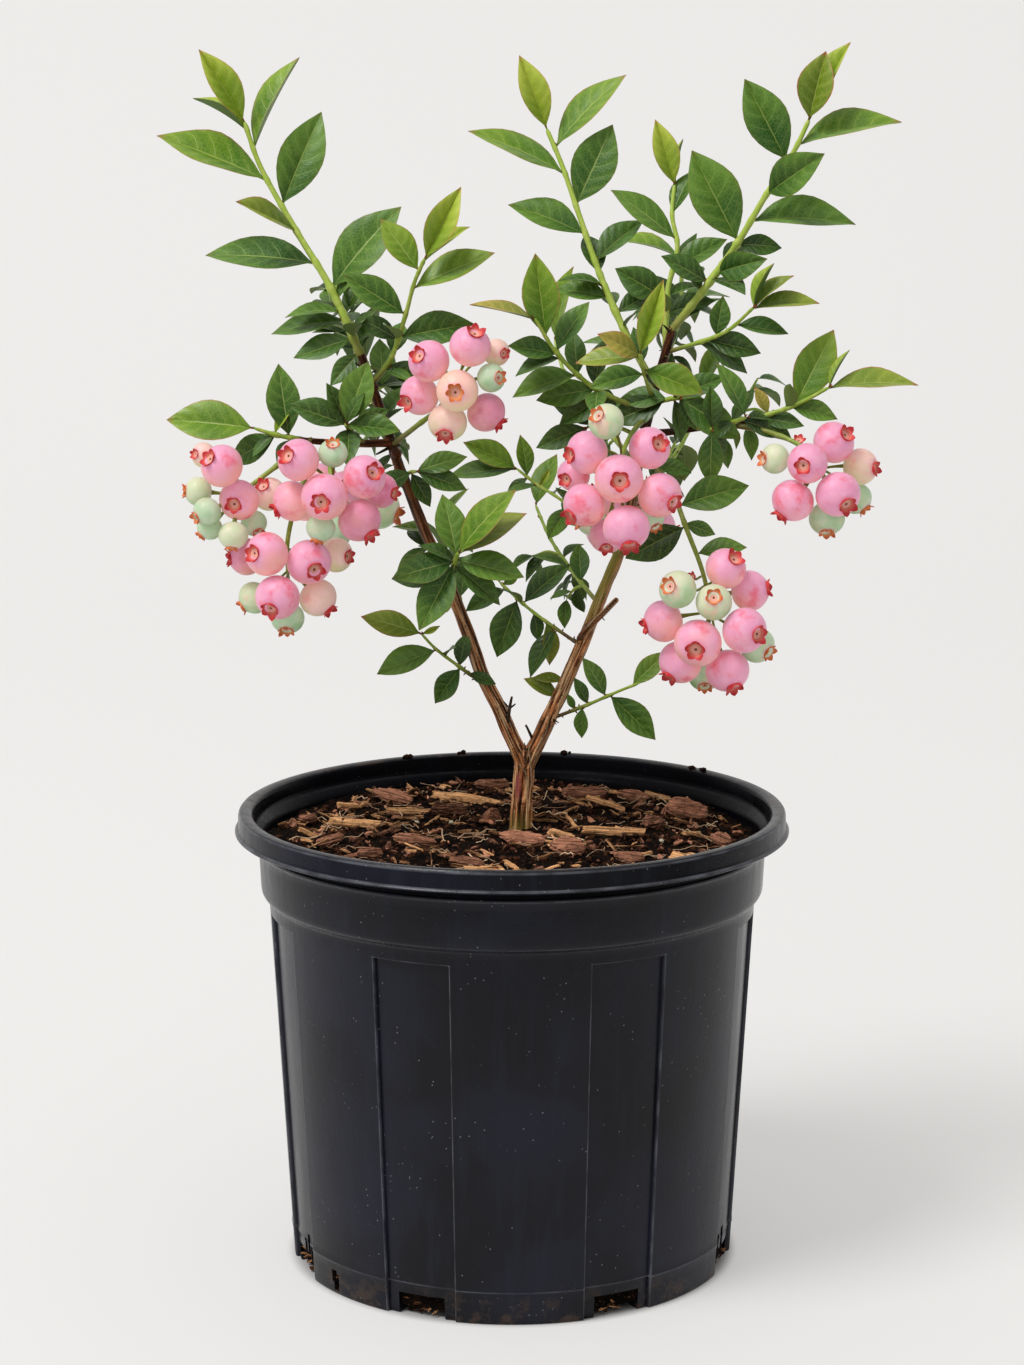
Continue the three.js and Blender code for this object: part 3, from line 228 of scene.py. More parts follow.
# Bunches of berries: depth of the first berry, the stem from inside its limb to the heart of the bunch, and
# the berries from front to back: x, z, diameter, where the crown looks (aim, and turn away from -Y), tint.
BUNCHES = {
    "berries_far_left": (-42, [(-79, -12, 338), (-92, -25, 329), (-107, -30, 318)],
        [(-112, 331, 16.6, 140, 50, "p"), (-106, 317, 15.8, -145, 15, "p"), (-118, 313, 11.6, -155, 60, "g"),
         (-108, 304, 11.6, -95, 70, "c"), (-118, 306, 10.5, -135, 80, "g"), (-122, 320, 11.6, 175, 80, "c"),
         (-101, 307, 10.4, -60, 50, "g"), (-95, 318, 13.5, 115, 45, "b"), (-120, 334, 10, 165, 45, "b")]),
    "berries_left": (-50, [(-66, -7, 336), (-71, -24, 330), (-70, -33, 323)],
        [(-72, 320, 18.1, -125, 10, "p"), (-82, 334, 16.5, 150, 40, "p"), (-57, 327, 16.9, 30, 35, "p"),
         (-59, 310, 17.3, -50, 65, "l"), (-85, 317, 16.2, -150, 80, "p"), (-69, 336, 11.5, 90, 50, "g"),
         (-74, 307, 11.6, -105, 75, "g"), (-51, 320, 13.8, -5, 60, "l")]),
    "berries_left_low": (-44, [(-72, -10, 337), (-82, -20, 322), (-88, -27, 300), (-88, -28, 288)],
        [(-95, 297, 17.1, 165, 40, "p"), (-79, 293, 17.5, -35, 25, "p"), (-91, 280, 17.5, -120, 35, "p"),
         (-101, 278, 12.8, -145, 80, "c"), (-76, 278, 15.2, -45, 75, "b"), (-88, 270, 13.2, -95, 50, "g"),
         (-104, 294, 14.7, -175, 75, "l"), (-69, 294, 13.6, 0, 55, "b")]),
    "berries_centre_left": (-42, [(-48, 3, 334), (-38, -12, 343), (-28, -22, 352), (-22, -26, 361)],
        [(-21, 360, 16.2, 180, 5, "h"), (-32, 371, 16.1, 150, 40, "p"), (-16, 377, 16.1, 70, 55, "p"),
         (-25, 347, 15.4, -100, 40, "b"), (-36, 357, 15.8, -155, 50, "p"), (-10, 351, 15.4, -40, 80, "l"),
         (-8, 365, 11.2, 5, 40, "g"), (-6, 374, 10.8, 0, 40, "b")]),
    "berries_centre": (-50, [(54, 3, 345), (48, -16, 342), (43, -30, 334), (42, -33, 325)],
        [(41, 327, 18.8, 0, 0, "p"), (28, 316, 17.3, -145, 60, "p"), (44, 308, 18.1, -80, 50, "p"),
         (57, 320, 17.3, -25, 45, "p"), (53, 338, 16.5, 35, 35, "p"), (29, 336, 16.9, -175, 60, "p"),
         (36, 349, 13.8, 140, 45, "c"), (24, 326, 13.1, -160, 35, "p"), (37, 303, 13.9, -95, 40, "l"),
         (54, 310, 10.8, -60, 50, "g")]),
    "berries_right_low": (-50, [(52, 3, 331), (62, -10, 320), (69, -22, 303), (75, -30, 287), (78, -34, 272)],
        [(72, 263, 18.6, -135, 15, "p"), (78, 279, 14.3, 100, 25, "c"), (90, 268, 17.8, -10, 40, "p"),
         (66, 253, 17.1, -130, 65, "p"), (84, 251, 17.5, -70, 55, "p"), (64, 284, 14.7, 150, 40, "c"),
         (59, 270, 16.3, -165, 80, "p"), (83, 291, 16.2, 55, 50, "p"), (93, 281, 16.2, 10, 80, "p"),
         (96, 260, 14, -30, 50, "g"), (76, 246, 12.8, -90, 40, "g")]),
    "berries_right": (-42, [(88, -6, 343), (102, -16, 341), (114, -25, 336), (121, -27, 328)],
        [(126, 320, 17.8, -50, 35, "p"), (114, 332, 15.8, -170, 20, "p"), (125, 339, 16.6, 40, 50, "p"),
         (136, 329, 14.3, 0, 60, "b"), (109, 317, 17, -130, 80, "p"), (102, 333, 12, 175, 65, "c"),
         (135, 316, 12.8, -50, 70, "g"), (123, 309, 14, -90, 55, "g")]),
}
BUNCH_LEAVES = {
    "berries_right_low": [(0.4, 20, 29, 0, 20, "m"), (0.52, -151, 27, 0, 10, "d"), (0.68, 11, 20, 0, 40, "m"),
                          (0.5, -20, 13, 5, 20, "m"), (0.1, -10, 16, 0, 30, "d")],
}

# Two bunches behind, dealt out round the heart of the bunch: seed, count, stem, tints.
BACK_BUNCHES = {
    "berries_back_left": (51, 8, [(-42, 3, 317), (-58, 26, 322), (-68, 46, 318), (-71, 52, 308)], "ppplpcpg"),
    "berries_back_right": (52, 8, [(47, 3, 305), (46, 26, 315), (45, 44, 312), (45, 50, 300)], "pplpcppg"),
}

# ------------------------------------------------------------------------------------------------------------
# Curves, shapes and pieces
# ------------------------------------------------------------------------------------------------------------

UP = np.array([0.0, 0.0, 1.0])
FRONT = np.array([0.0, -1.0, 0.0])
GOLDEN_ANGLE = 137.5
MERGE = 1e-6  # metres within which two points are one


def dice(seed):
    """One repeatable stream of numbers from 0 to 1 for each seed."""
    state = (seed * 2654435761) & 0xFFFFFFFF

    def roll():
        nonlocal state
        state = (state * 1664525 + 1013904223) & 0xFFFFFFFF
        return state / 4294967296

    return roll


def unit(v):
    return v / np.linalg.norm(v)


def square_to(v, axis):
    """The part of v at right angles to a unit axis, as a unit vector."""
    return unit(v - axis * np.dot(v, axis))


def turned(v, axis, degrees):
    """v turned about a unit axis."""
    a = math.radians(degrees)
    return v * math.cos(a) + np.cross(axis, v) * math.sin(a) + axis * np.dot(axis, v) * (1 - math.cos(a))


class Path:
    """A smooth curve through points, measured along its length."""

    STEPS = 30

    def __init__(self, points):
        p = [np.array(q, float) for q in points]
        p = [2 * p[0] - p[1], *p, 2 * p[-1] - p[-2]]
        t = np.linspace(0, 1, self.STEPS, endpoint=False)[:, None]
        spans = []
        for a, b, c, d in zip(p, p[1:], p[2:], p[3:]):
            ab, bc, cd = (np.linalg.norm(v) ** 0.5 for v in (b - a, c - b, d - c))
            leave = ((b - a) / ab - (c - a) / (ab + bc) + (c - b) / bc) * bc
            arrive = ((c - b) / bc - (d - b) / (bc + cd) + (d - c) / cd) * bc
            bow = 3 * (c - b) - 2 * leave - arrive
            twist = 2 * (b - c) + leave + arrive
            spans.append(b + leave * t + bow * t**2 + twist * t**3)
        self.points = np.concatenate([*spans, p[-2][None]])
        self.run = np.concatenate([[0], np.cumsum(np.linalg.norm(np.diff(self.points, axis=0), axis=1))])
        self.length = self.run[-1]

    def at(self, share):
        where = np.clip(share, 0, 1) * self.length
        return np.stack([np.interp(where, self.run, self.points[:, k]) for k in range(3)], axis=-1)

    def heading(self, share):
        return unit(self.at(share + 0.01) - self.at(share - 0.01))


class Heap:
    """Small shapes that are joined into one piece. Each point may carry a mark of three numbers."""

    def __init__(self):
        self.points, self.faces, self.marks, self.slots, self.count = [], [], [], [], 0

    def add(self, points, faces, marks=None, slots=0):
        points = np.asarray(points, float)
        marks = np.zeros(points.shape) if marks is None else np.broadcast_to(marks, points.shape)
        self.points.append(points)
        self.marks.append(marks)
        self.faces.extend(tuple(i + self.count for i in face) for face in faces)
        self.slots.extend([slots] * len(faces) if isinstance(slots, int) else slots)
        self.count += len(points)


def linked(name, data):
    """A new object in the scene that shows a mesh, a lamp or a camera."""
    made = bpy.data.objects.new(name, data)
    bpy.context.scene.collection.objects.link(made)
    return made


def piece_from(name, heap, materials, smooth_angle=50):
    """One mesh object of what a heap holds, in metres."""
    mesh = bpy.data.meshes.new(name)
    mesh.from_pydata((np.concatenate(heap.points) * MM).tolist(), [], heap.faces)
    mark_points(mesh, np.concatenate(heap.marks))
    for material in materials:
        mesh.materials.append(material)
    mesh.polygons.foreach_set("material_index", heap.slots)
    piece = linked(name, mesh)
    smooth(piece, smooth_angle)
    return piece


def smooth(piece, angle):
    piece.data.polygons.foreach_set("use_smooth", [True] * len(piece.data.polygons))
    piece.data.set_sharp_from_angle(angle=math.radians(angle))


def seat(piece, slot, *nodes):
    """Puts a finished piece into the model."""
    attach(piece, "root")
    if nodes:
        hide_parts(*nodes)
    return piece


def tube(middles, radii, sides):
    """Points and faces of a closed tube through middles, with a radius at each."""
    middles = np.asarray(middles, float)
    radii = np.broadcast_to(radii, len(middles))
    ahead = np.gradient(middles, axis=0)
    ahead /= np.linalg.norm(ahead, axis=1)[:, None]
    side = square_to(FRONT if abs(ahead[0][1]) < 0.9 else UP, ahead[0])
    angles = np.linspace(0, 2 * math.pi, sides, endpoint=False)
    rings = []
    for middle, heading, radius in zip(middles, ahead, radii):
        side = square_to(side, heading)
        other = np.cross(heading, side)
        rings.append(middle + radius * (np.outer(np.cos(angles), side) + np.outer(np.sin(angles), other)))
    points = np.concatenate([*rings, middles[[0, -1]]])
    return points, tube_faces(len(middles), sides)


def tube_faces(count, sides):
    faces = []
    for i in range(count - 1):
        for j in range(sides):
            a, b = i * sides + j, i * sides + (j + 1) % sides
            faces.append((a, b, b + sides, a + sides))
    start, end, last = count * sides, count * sides + 1, (count - 1) * sides
    for j in range(sides):
        k = (j + 1) % sides
        faces.append((start, k, j))
        faces.append((end, last + j, last + k))
    return faces


def only(*objects):
    """Selects these objects alone, the first of them active."""
    bpy.ops.object.select_all(action="DESELECT")
    for made in objects:
        made.select_set(True)
    bpy.context.view_layer.objects.active = objects[0]


def spun(name, profile, steps):
    """An object turned from a profile of (radius, height) in mm, closed at the axis."""
    mesh = bpy.data.meshes.new(name)
    edges = [(i, i + 1) for i in range(len(profile) - 1)]
    mesh.from_pydata([(r * MM, 0, z * MM) for r, z in profile], edges, [])
    made = linked(name, mesh)
    only(made)
    bpy.ops.object.mode_set(mode="EDIT")
    bpy.ops.mesh.select_all(action="SELECT")
    bpy.ops.mesh.spin(steps=steps, angle=2 * math.pi, center=(0, 0, 0), axis=(0, 0, 1))
    bpy.ops.mesh.select_all(action="SELECT")
    bpy.ops.mesh.remove_doubles(threshold=MERGE)
    bpy.ops.mesh.normals_make_consistent(inside=False)
    bpy.ops.object.mode_set(mode="OBJECT")
    return made


def places(made):
    """The points of an object's mesh in mm."""
    co = np.empty(len(made.data.vertices) * 3)
    made.data.vertices.foreach_get("co", co)
    return co.reshape(-1, 3) / MM


def move_points(made, points):
    made.data.vertices.foreach_set("co", (points * MM).ravel())
    made.data.update()


def mark_points(mesh, marks, layer="mark"):
    """Gives each point of a mesh three numbers for its finish to read."""
    made = mesh.attributes.new(layer, "FLOAT_VECTOR", "POINT")
    made.data.foreach_set("vector", np.asarray(marks, np.float32).ravel())


def rough(points, scale, octaves=1):
    """Smooth noise from about -1 to 1 at each point, with features of about scale mm."""
    total = np.zeros(len(points))
    for octave in range(octaves):
        step = scale / 2**octave
        total += np.array([noise.noise(Vector(p) / step) for p in points]) / 2**octave
    return total


# ------------------------------------------------------------------------------------------------------------
# Finishes
# ------------------------------------------------------------------------------------------------------------


def rgb(red, green, blue):
    """A colour given from 0 to 255 as on a screen."""
    def linear(c):
        return c / 12.92 if c <= 0.04045 else ((c + 0.055) / 1.055) ** 2.4
    return (*(linear(c / 255) for c in (red, green, blue)), 1)


class Finish:
    """A material and the nodes that feed its shader."""

    def __init__(self, name, **fixed):
        self.material = bpy.data.materials.new(name)
        self.material.use_nodes = True
        self.tree = self.material.node_tree
        self.shader = self.tree.nodes["Principled BSDF"]
        for socket, value in fixed.items():
            self.shader.inputs[socket.replace("_", " ")].default_value = value

    def node(self, kind, inputs, **settings):
        made = self.tree.nodes.new("ShaderNode" + kind)
        for key, value in settings.items():
            setattr(made, key, value)
        for key, value in inputs.items():
            if isinstance(value, bpy.types.NodeSocket):
                self.tree.links.new(value, made.inputs[key])
            else:
                made.inputs[key].default_value = value
        return made.outputs

    def stretched(self, where, scale):
        return self.node("Mapping", {"Vector": where, "Scale": scale})["Vector"]

    def place(self, scale=(1, 1, 1)):
        """Object coordinates, stretched."""
        return self.stretched(self.node("TexCoord", {})["Object"], scale)

    def mark(self, layer="mark"):
        """The three numbers that each point carries, together and one by one."""
        vector = self.node("Attribute", {}, attribute_name=layer)["Vector"]
        return [vector, *self.node("SeparateXYZ", {"Vector": vector})]

    def noise(self, where, scale, detail=2.0, roughness=0.5):
        inputs = {"Vector": where, "Scale": scale, "Detail": detail, "Roughness": roughness}
        return self.node("TexNoise", inputs)["Fac"]

    def cells(self, where, scale, feature="F1"):
        return self.node("TexVoronoi", {"Vector": where, "Scale": scale}, feature=feature)["Distance"]

    def sum(self, a, b):
        return self.node("Math", {0: a, 1: b}, operation="ADD")[0]

    def times(self, a, b):
        return self.node("Math", {0: a, 1: b}, operation="MULTIPLY")[0]

    def maths(self, operation, a, b=0.0):
        return self.node("Math", {0: a, 1: b}, operation=operation)[0]

    def rise(self, value, start, end, low=0.0, high=1.0):
        """low below start and high above end, with a smooth rise between."""
        inputs = {"Value": value, "From Min": start, "From Max": end, "To Min": low, "To Max": high}
        return self.node("MapRange", inputs, interpolation_type="SMOOTHSTEP")["Result"]

    def blend(self, share, a, b):
        return self.node("Mix", {0: share, 6: a, 7: b}, data_type="RGBA")[2]

    def colour(self, output):
        self.tree.links.new(output, self.shader.inputs["Base Color"])

    def roughness(self, output):
        self.tree.links.new(output, self.shader.inputs["Roughness"])

    def relief(self, height, depth):
        """Bumps whose height of 1 stands for depth in mm."""
        bump = self.node("Bump", {"Height": height, "Distance": depth * MM, "Strength": 1.0})["Normal"]
        self.tree.links.new(bump, self.shader.inputs["Normal"])


def plastic():
    """Black plastic with scuffs and pale specks. mark holds scuffed edges with painted highlights, soil, and
    how deep inside it is, where shade is painted.
    """
    f = Finish("black_plastic")
    _, wear_and_highlight, dust, inside = f.mark()
    where = f.place()
    upright = f.place((1, 1, 0.1))
    cloudy = f.noise(where, 20, 3)
    streaks = f.noise(upright, 170, 3, 0.6)
    base = f.blend(f.rise(cloudy, 0.35, 0.7), rgb(9, 10, 17), rgb(21, 23, 36))
    base = f.blend(f.rise(streaks, 0.48, 0.75, 0, 0.3), base, rgb(32, 35, 48))
    # Pale lines along the moulded edges: scuffs, and painted highlights on the flange, the lip, the shelf and
    # the panel edges.
    scratches_and_highlights = f.times(f.rise(wear_and_highlight, 0.1, 0.6), f.rise(f.noise(where, 90, 3), 0.3, 0.7, 0.15, 0.55))
    base = f.blend(scratches_and_highlights, base, rgb(112, 114, 122))
    specks = f.rise(f.cells(where, 330), 0.05, 0.11, 1, 0)
    chosen = f.rise(f.noise(where, 46, 2), 0.48, 0.56)
    base = f.blend(f.times(f.times(specks, chosen), 0.6), base, rgb(150, 150, 148))
    # Painted shade: inside the pot, in the gap under the lip and faintly on the lip, the plastic is darkened
    # towards black.
    base = f.blend(f.times(inside, 0.75), base, rgb(3, 3, 4))
    soiled = f.times(dust, f.rise(f.noise(where, 120, 4, 0.7), 0.5, 0.62))
    base = f.blend(soiled, base, rgb(70, 54, 42))
    f.colour(base)
    f.roughness(f.rise(f.sum(streaks, f.times(cloudy, 0.6)), 0.5, 1.1, 0.2, 0.34))
    # Painted shade: inside the pot and on the lip the plastic mirrors less.
    f.tree.links.new(f.rise(inside, 0, 1, 0.22, 0.05), f.shader.inputs["Specular IOR Level"])
    f.relief(f.sum(f.noise(where, 900, 2), f.times(f.noise(where, 60, 2), 2.0)), 0.07)
    return f.material


def earth():
    """Dark peat with browner crumbs."""
    f = Finish("peat", Roughness=0.95, Specular_IOR_Level=0.05)
    where = f.place()
    clumps = f.noise(where, 150, 5, 0.7)
    base = f.blend(f.rise(clumps, 0.4, 0.75), rgb(7, 4, 3), rgb(28, 17, 11))
    flecks = f.rise(f.noise(where, 800, 2), 0.62, 0.7)
    f.colour(f.blend(f.times(flecks, 0.5), base, rgb(90, 60, 40)))
    f.relief(f.noise(where, 420, 5, 0.7), 1.4)
    return f.material


def wood(name, dark, light, streak=0.5, grain=500.0):
    """Loose bark or split wood. mark x runs along each bit, y across it, and z sets its tone."""
    f = Finish(name, Roughness=0.88, Specular_IOR_Level=0.08)
    vector, _, _, tone = f.mark()
    fibres = f.noise(f.stretched(vector, (0.11, 1.15, 9.0)), 1.0, 4, 0.65)
    spots = f.noise(f.place(), grain, 3)
    share = f.sum(f.times(tone, 0.65), f.times(f.rise(fibres, 0.38, 0.62, -0.3, 1.0), streak))
    base = f.blend(share, dark, light)
    f.colour(f.blend(f.rise(spots, 0.52, 0.7, 0, 0.5), base, rgb(30, 18, 12)))
    f.relief(f.sum(f.times(fibres, 1.8), spots), 0.5)
    return f.material


def perlite():
    f = Finish("perlite", Roughness=0.9)
    f.colour(f.blend(f.noise(f.place(), 900, 3), rgb(170, 160, 130), rgb(226, 218, 196)))
    return f.material


def bark():
    """Fissured bark. mark is a place on the limb, unrolled, with long features along it. tone holds the bark's
    age, how deep in the fissures a place is, for the painted shade there, and a stain: above 0 it is red, and
    below 0 green."""
    f = Finish("bark", Roughness=0.38, Specular_IOR_Level=0.14)
    unrolled = f.mark()[0]
    age, fissure_shade, stain = f.mark("tone")[1:]
    fibre = f.noise(unrolled, 3.2, 5, 0.7)
    thread = f.noise(f.stretched(unrolled, (2.3, 2.3, 0.5)), 3.0, 4, 0.65)
    brown = f.blend(f.rise(fibre, 0.38, 0.64), rgb(80, 30, 11), rgb(240, 154, 94))
    brown = f.blend(f.rise(thread, 0.51, 0.59, 0, 0.95), brown, rgb(255, 212, 160))
    brown = f.blend(f.rise(thread, 0.37, 0.45, 0.95, 0), brown, rgb(26, 9, 3))
    upper = f.blend(f.rise(fibre, 0.4, 0.65), rgb(34, 14, 5), rgb(112, 62, 30))
    base = f.blend(age, upper, brown)
    # Painted shade: the bark is darkened almost to black down in the fissures.
    base = f.blend(f.times(fissure_shade, 0.85), base, rgb(26, 11, 5))
    green = f.times(f.maths("MAXIMUM", f.times(stain, -1.0)), 0.75)
    base = f.blend(green, base, rgb(124, 122, 52))
    red = f.times(f.maths("MAXIMUM", stain), f.rise(fibre, 0.4, 0.6, 0.5, 1.0))
    f.colour(f.blend(red, base, rgb(156, 76, 76)))
    f.relief(f.sum(fibre, thread), 0.3)
    return f.material


SIDE_VEINS = 6.3  # pairs of side veins on a leaf
VEIN = rgb(214, 220, 140)


def green_shoot():
    """Young stems: lime green, browner towards old wood. mark x is how woody, z sets the tone."""
    f = Finish("green_shoot", Roughness=0.45, Specular_IOR_Level=0.4)
    _, woody, _, tone = f.mark()
    where = f.place()
    lime = f.blend(tone, rgb(126, 160, 44), rgb(176, 200, 80))
    lime = f.blend(f.rise(f.noise(where, 420, 2), 0.45, 0.7, 0, 0.5), lime, rgb(206, 212, 116))
    brown = f.blend(f.noise(f.place((1, 1, 0.3)), 500, 3), rgb(76, 52, 32), rgb(116, 92, 50))
    f.colour(f.blend(woody, lime, brown))
    f.relief(f.noise(where, 700, 2), 0.08)
    return f.material


def veins(f, along, across, width):
    """How far out each place on a leaf is, how far from a side vein, and 1 on side veins and the midrib."""
    out = f.maths("ABSOLUTE", across)
    curve = f.maths("POWER", out, 1.35)
    slant = f.sum(f.times(along, SIDE_VEINS), f.times(curve, -1.25))
    slant = f.sum(slant, f.times(f.maths("GREATER_THAN", across), 0.45))
    beside = f.maths("ABSOLUTE", f.sum(f.maths("FRACT", slant), -0.5))
    side = f.times(f.rise(beside, 0.4 * width, 1.7 * width, 1, 0), f.rise(out, 0.5, 0.95, 0.75, 0))
    midrib = f.rise(f.sum(out, f.times(along, 0.02)), 0.6 * width, 2.0 * width, 1, 0)
    return out, beside, side, midrib


def leaf_top(name, deep, light, rim, rim_share):
    """The upper face of a leaf. mark is the place along it, across it from -1 to 1, and its tone."""
    f = Finish(name, Roughness=0.4, Specular_IOR_Level=0.36)
    vector, along, across, tone = f.mark()
    where = f.place()
    out, beside, side, midrib = veins(f, along, across, 0.03)
    cloudy = f.noise(where, 70, 2)
    fine = f.noise(where, 620, 3, 0.6)
    net = f.rise(f.cells(f.stretched(vector, (24, 6, 1)), 1.0, "DISTANCE_TO_EDGE"), 0.02, 0.12, 1, 0)
    share = f.sum(f.times(tone, 0.5), f.times(f.rise(cloudy, 0.3, 0.7), 0.3))
    share = f.sum(share, f.times(f.sum(fine, -0.5), 0.5))
    share = f.sum(share, f.rise(out, 0.3, 1.0, 0, 0.2))
    share = f.sum(share, f.rise(along, 0.1, 1.0, -0.2, 0.3))
    share = f.sum(share, f.rise(beside, 0.0, 0.5, 0.12, -0.12))
    base = f.blend(share, deep, light)
    # Painted sheen: bluish areas towards the leaf's root stand for the sky's reflection.
    sheen_tint = (0.8 * deep[0], 0.95 * deep[1], min(1.7 * deep[2] + 0.005, 1), 1)
    sheen_patches = f.times(f.rise(f.noise(where, 40, 1), 0.45, 0.65, 0, 0.6), f.rise(along, 0.3, 0.9, 1, 0))
    base = f.blend(sheen_patches, base, sheen_tint)
    pale = tuple(0.5 * a + 0.5 * b for a, b in zip(light, VEIN))
    drawn = f.maths("MAXIMUM", f.times(side, 0.42), f.times(midrib, 0.75))
    base = f.blend(f.maths("MAXIMUM", f.times(drawn, 0.85), f.times(net, 0.14)), base, pale)
    at_rim = f.maths("MAXIMUM", f.rise(out, 0.9, 1.0), f.rise(along, 0.9, 1.0))
    base = f.blend(f.times(at_rim, rim_share), base, rim)
    f.colour(base)
    f.roughness(f.rise(f.noise(where, 50, 2), 0.3, 0.7, 0.32, 0.48))
    quilt = f.times(f.rise(beside, 0.0, 0.5), f.rise(out, 0.05, 0.35))
    height = f.sum(f.times(quilt, 0.8), f.times(f.maths("MAXIMUM", side, midrib), -0.5))
    f.relief(f.sum(height, f.times(net, -0.2)), 0.12)
    return f.material


def leaf_under():
    f = Finish("leaf_under", Roughness=0.6, Specular_IOR_Level=0.25)
    _, along, across, tone = f.mark()
    _, _, side, midrib = veins(f, along, across, 0.035)
    base = f.blend(tone, rgb(84, 112, 52), rgb(118, 140, 72))
    vein = f.maths("MAXIMUM", f.times(side, 0.5), midrib)
    f.colour(f.blend(f.times(vein, 0.6), base, rgb(160, 176, 106)))
    f.relief(vein, 0.2)
    return f.material


# Tints of leaves: deep and light green, the rim, and how much of it shows.
LEAF_TINTS = {
    "y": ("leaf_yellow_green", rgb(122, 152, 16), rgb(182, 196, 70), rgb(204, 138, 88), 0.7),
    "f": ("leaf_fresh", rgb(70, 112, 6), rgb(130, 160, 40), rgb(172, 112, 72), 0.65),
    "m": ("leaf_green", rgb(38, 82, 10), rgb(98, 136, 42), rgb(128, 112, 56), 0.45),
    "d": ("leaf_dark", rgb(22, 56, 5), rgb(74, 114, 36), rgb(88, 100, 40), 0.3),
    "o": ("leaf_olive", rgb(92, 118, 12), rgb(148, 162, 54), rgb(186, 104, 78), 0.9),
    "r": ("leaf_blush", rgb(124, 128, 34), rgb(196, 172, 80), rgb(210, 116, 86), 0.95),
}


LILAC = rgb(198, 132, 166)


def berry_skin(name, crown_side, under, patch, patch_share):
    """Waxy fruit. mark x runs from -1 at the stalk to 1 at the crown, y is how far up the skin faces: pinker
    above as sun blush, and lighter and warmer below as painted light bounced from the floor.
    """
    f = Finish(name, Specular_IOR_Level=0.35, Subsurface_Weight=0.35, Subsurface_Scale=0.004,
               Sheen_Weight=0.12, Sheen_Roughness=0.45)
    f.material.cycles.emission_sampling = "NONE"
    f.shader.inputs["Subsurface Radius"].default_value = (1.0, 0.4, 0.3)
    _, end, lift, tone = f.mark()
    where = f.place()
    cloudy = f.noise(where, 110, 2)
    # Pinker where the skin faces up, as sun blush; the lighter, warmer stalk-side tint where it faces down is
    # painted light bounced from the floor.
    blush_and_bounce = f.sum(f.times(end, 0.32), f.times(lift, 0.4))
    blush_and_bounce = f.sum(f.sum(blush_and_bounce, f.times(f.sum(cloudy, -0.5), 1.2)), f.times(tone, 0.5))
    base = f.blend(f.rise(blush_and_bounce, -0.5, 0.45), under, crown_side)
    blotch = f.rise(f.noise(where, 130, 3, 0.6), 0.52, 0.72)
    base = f.blend(f.times(blotch, patch_share), base, patch)
    base = f.blend(f.times(f.rise(end, 0.74, 0.9), 0.35), base, LILAC)
    dots = f.rise(f.cells(where, 1300), 0.1, 0.2, 1, 0)
    base = f.blend(f.times(dots, f.rise(f.noise(where, 300, 1), 0.5, 0.6, 0, 0.2)), base, patch)
    bloom = f.rise(f.noise(where, 220, 4, 0.6), 0.4, 0.7, 0, 0.16)
    base = f.blend(bloom, base, rgb(232, 196, 204))
    f.colour(base)
    # Painted glow: the skin gives out light in its own colour, strongest where it faces the front and weakest
    # where it faces back.
    _, away, _ = f.node("SeparateXYZ", {"Vector": f.node("NewGeometry", {})["Normal"]})
    f.tree.links.new(base, f.shader.inputs["Emission Color"])
    f.tree.links.new(f.rise(away, -1.0, 0.5, 0.46, 0.16), f.shader.inputs["Emission Strength"])
    f.roughness(f.rise(bloom, 0, 0.16, 0.4, 0.52))
    f.relief(f.noise(where, 1500, 2), 0.03)
    return f.material


# Tints of berries: crown side, stalk side, which also paints light bounced from the floor onto the underside,
# blotches and how much of them shows.
BERRY_TINTS = {
    "p": ("berries_pink", rgb(206, 138, 166), rgb(218, 152, 144), rgb(204, 74, 94), 0.7),
    "l": ("berries_lilac", rgb(192, 112, 142), rgb(194, 136, 130), rgb(172, 62, 90), 0.45),
    "h": ("berries_peach", rgb(220, 170, 160), rgb(210, 192, 150), rgb(208, 116, 112), 0.4),
    "b": ("berries_blush", rgb(208, 172, 160), rgb(186, 186, 138), rgb(202, 106, 112), 0.45),
    "c": ("berries_cream", rgb(182, 190, 156), rgb(142, 172, 126), rgb(214, 150, 136), 0.45),
    "g": ("berries_mint", rgb(160, 184, 150), rgb(118, 150, 98), rgb(190, 168, 140), 0.35),
}


def crown_finish(name, deep, light):
    """Crown lobes and cup. mark x is how far out on a lobe a place is."""
    f = Finish(name, Roughness=0.5, Specular_IOR_Level=0.3)
    lobe = f.mark()[1]
    spots = f.noise(f.place(), 700, 3)
    share = f.sum(f.times(f.rise(lobe, 0.0, 1.0), 0.6), f.times(spots, 0.5))
    f.colour(f.blend(share, light, deep))
    f.relief(spots, 0.12)
    return f.material


# ------------------------------------------------------------------------------------------------------------
# Pot
# ------------------------------------------------------------------------------------------------------------

POT_STEPS = 360
EDGE_LINE = 0.14  # degrees from a panel's edge to the line of the mesh that stays out on the wall
EDGE_LINES = (-0.6, -EDGE_LINE, EDGE_LINE, 0.6)
CREASE_Z = 13.4
CREASE_HEIGHT = 0.25
PANEL_LINE_Z = PANEL_TOP_Z + 0.25
STEP_LINE_Z = STEP_Z + 1.2
BEAD_Z = 173.0
FLANGE_Z = 179.25
SHELF_Z = 179.5
LIP_EDGE_Z = 186.0


def outer_radius(z):
    return BASE_RADIUS + (BODY_TOP_RADIUS - BASE_RADIUS) * z / STEP_Z


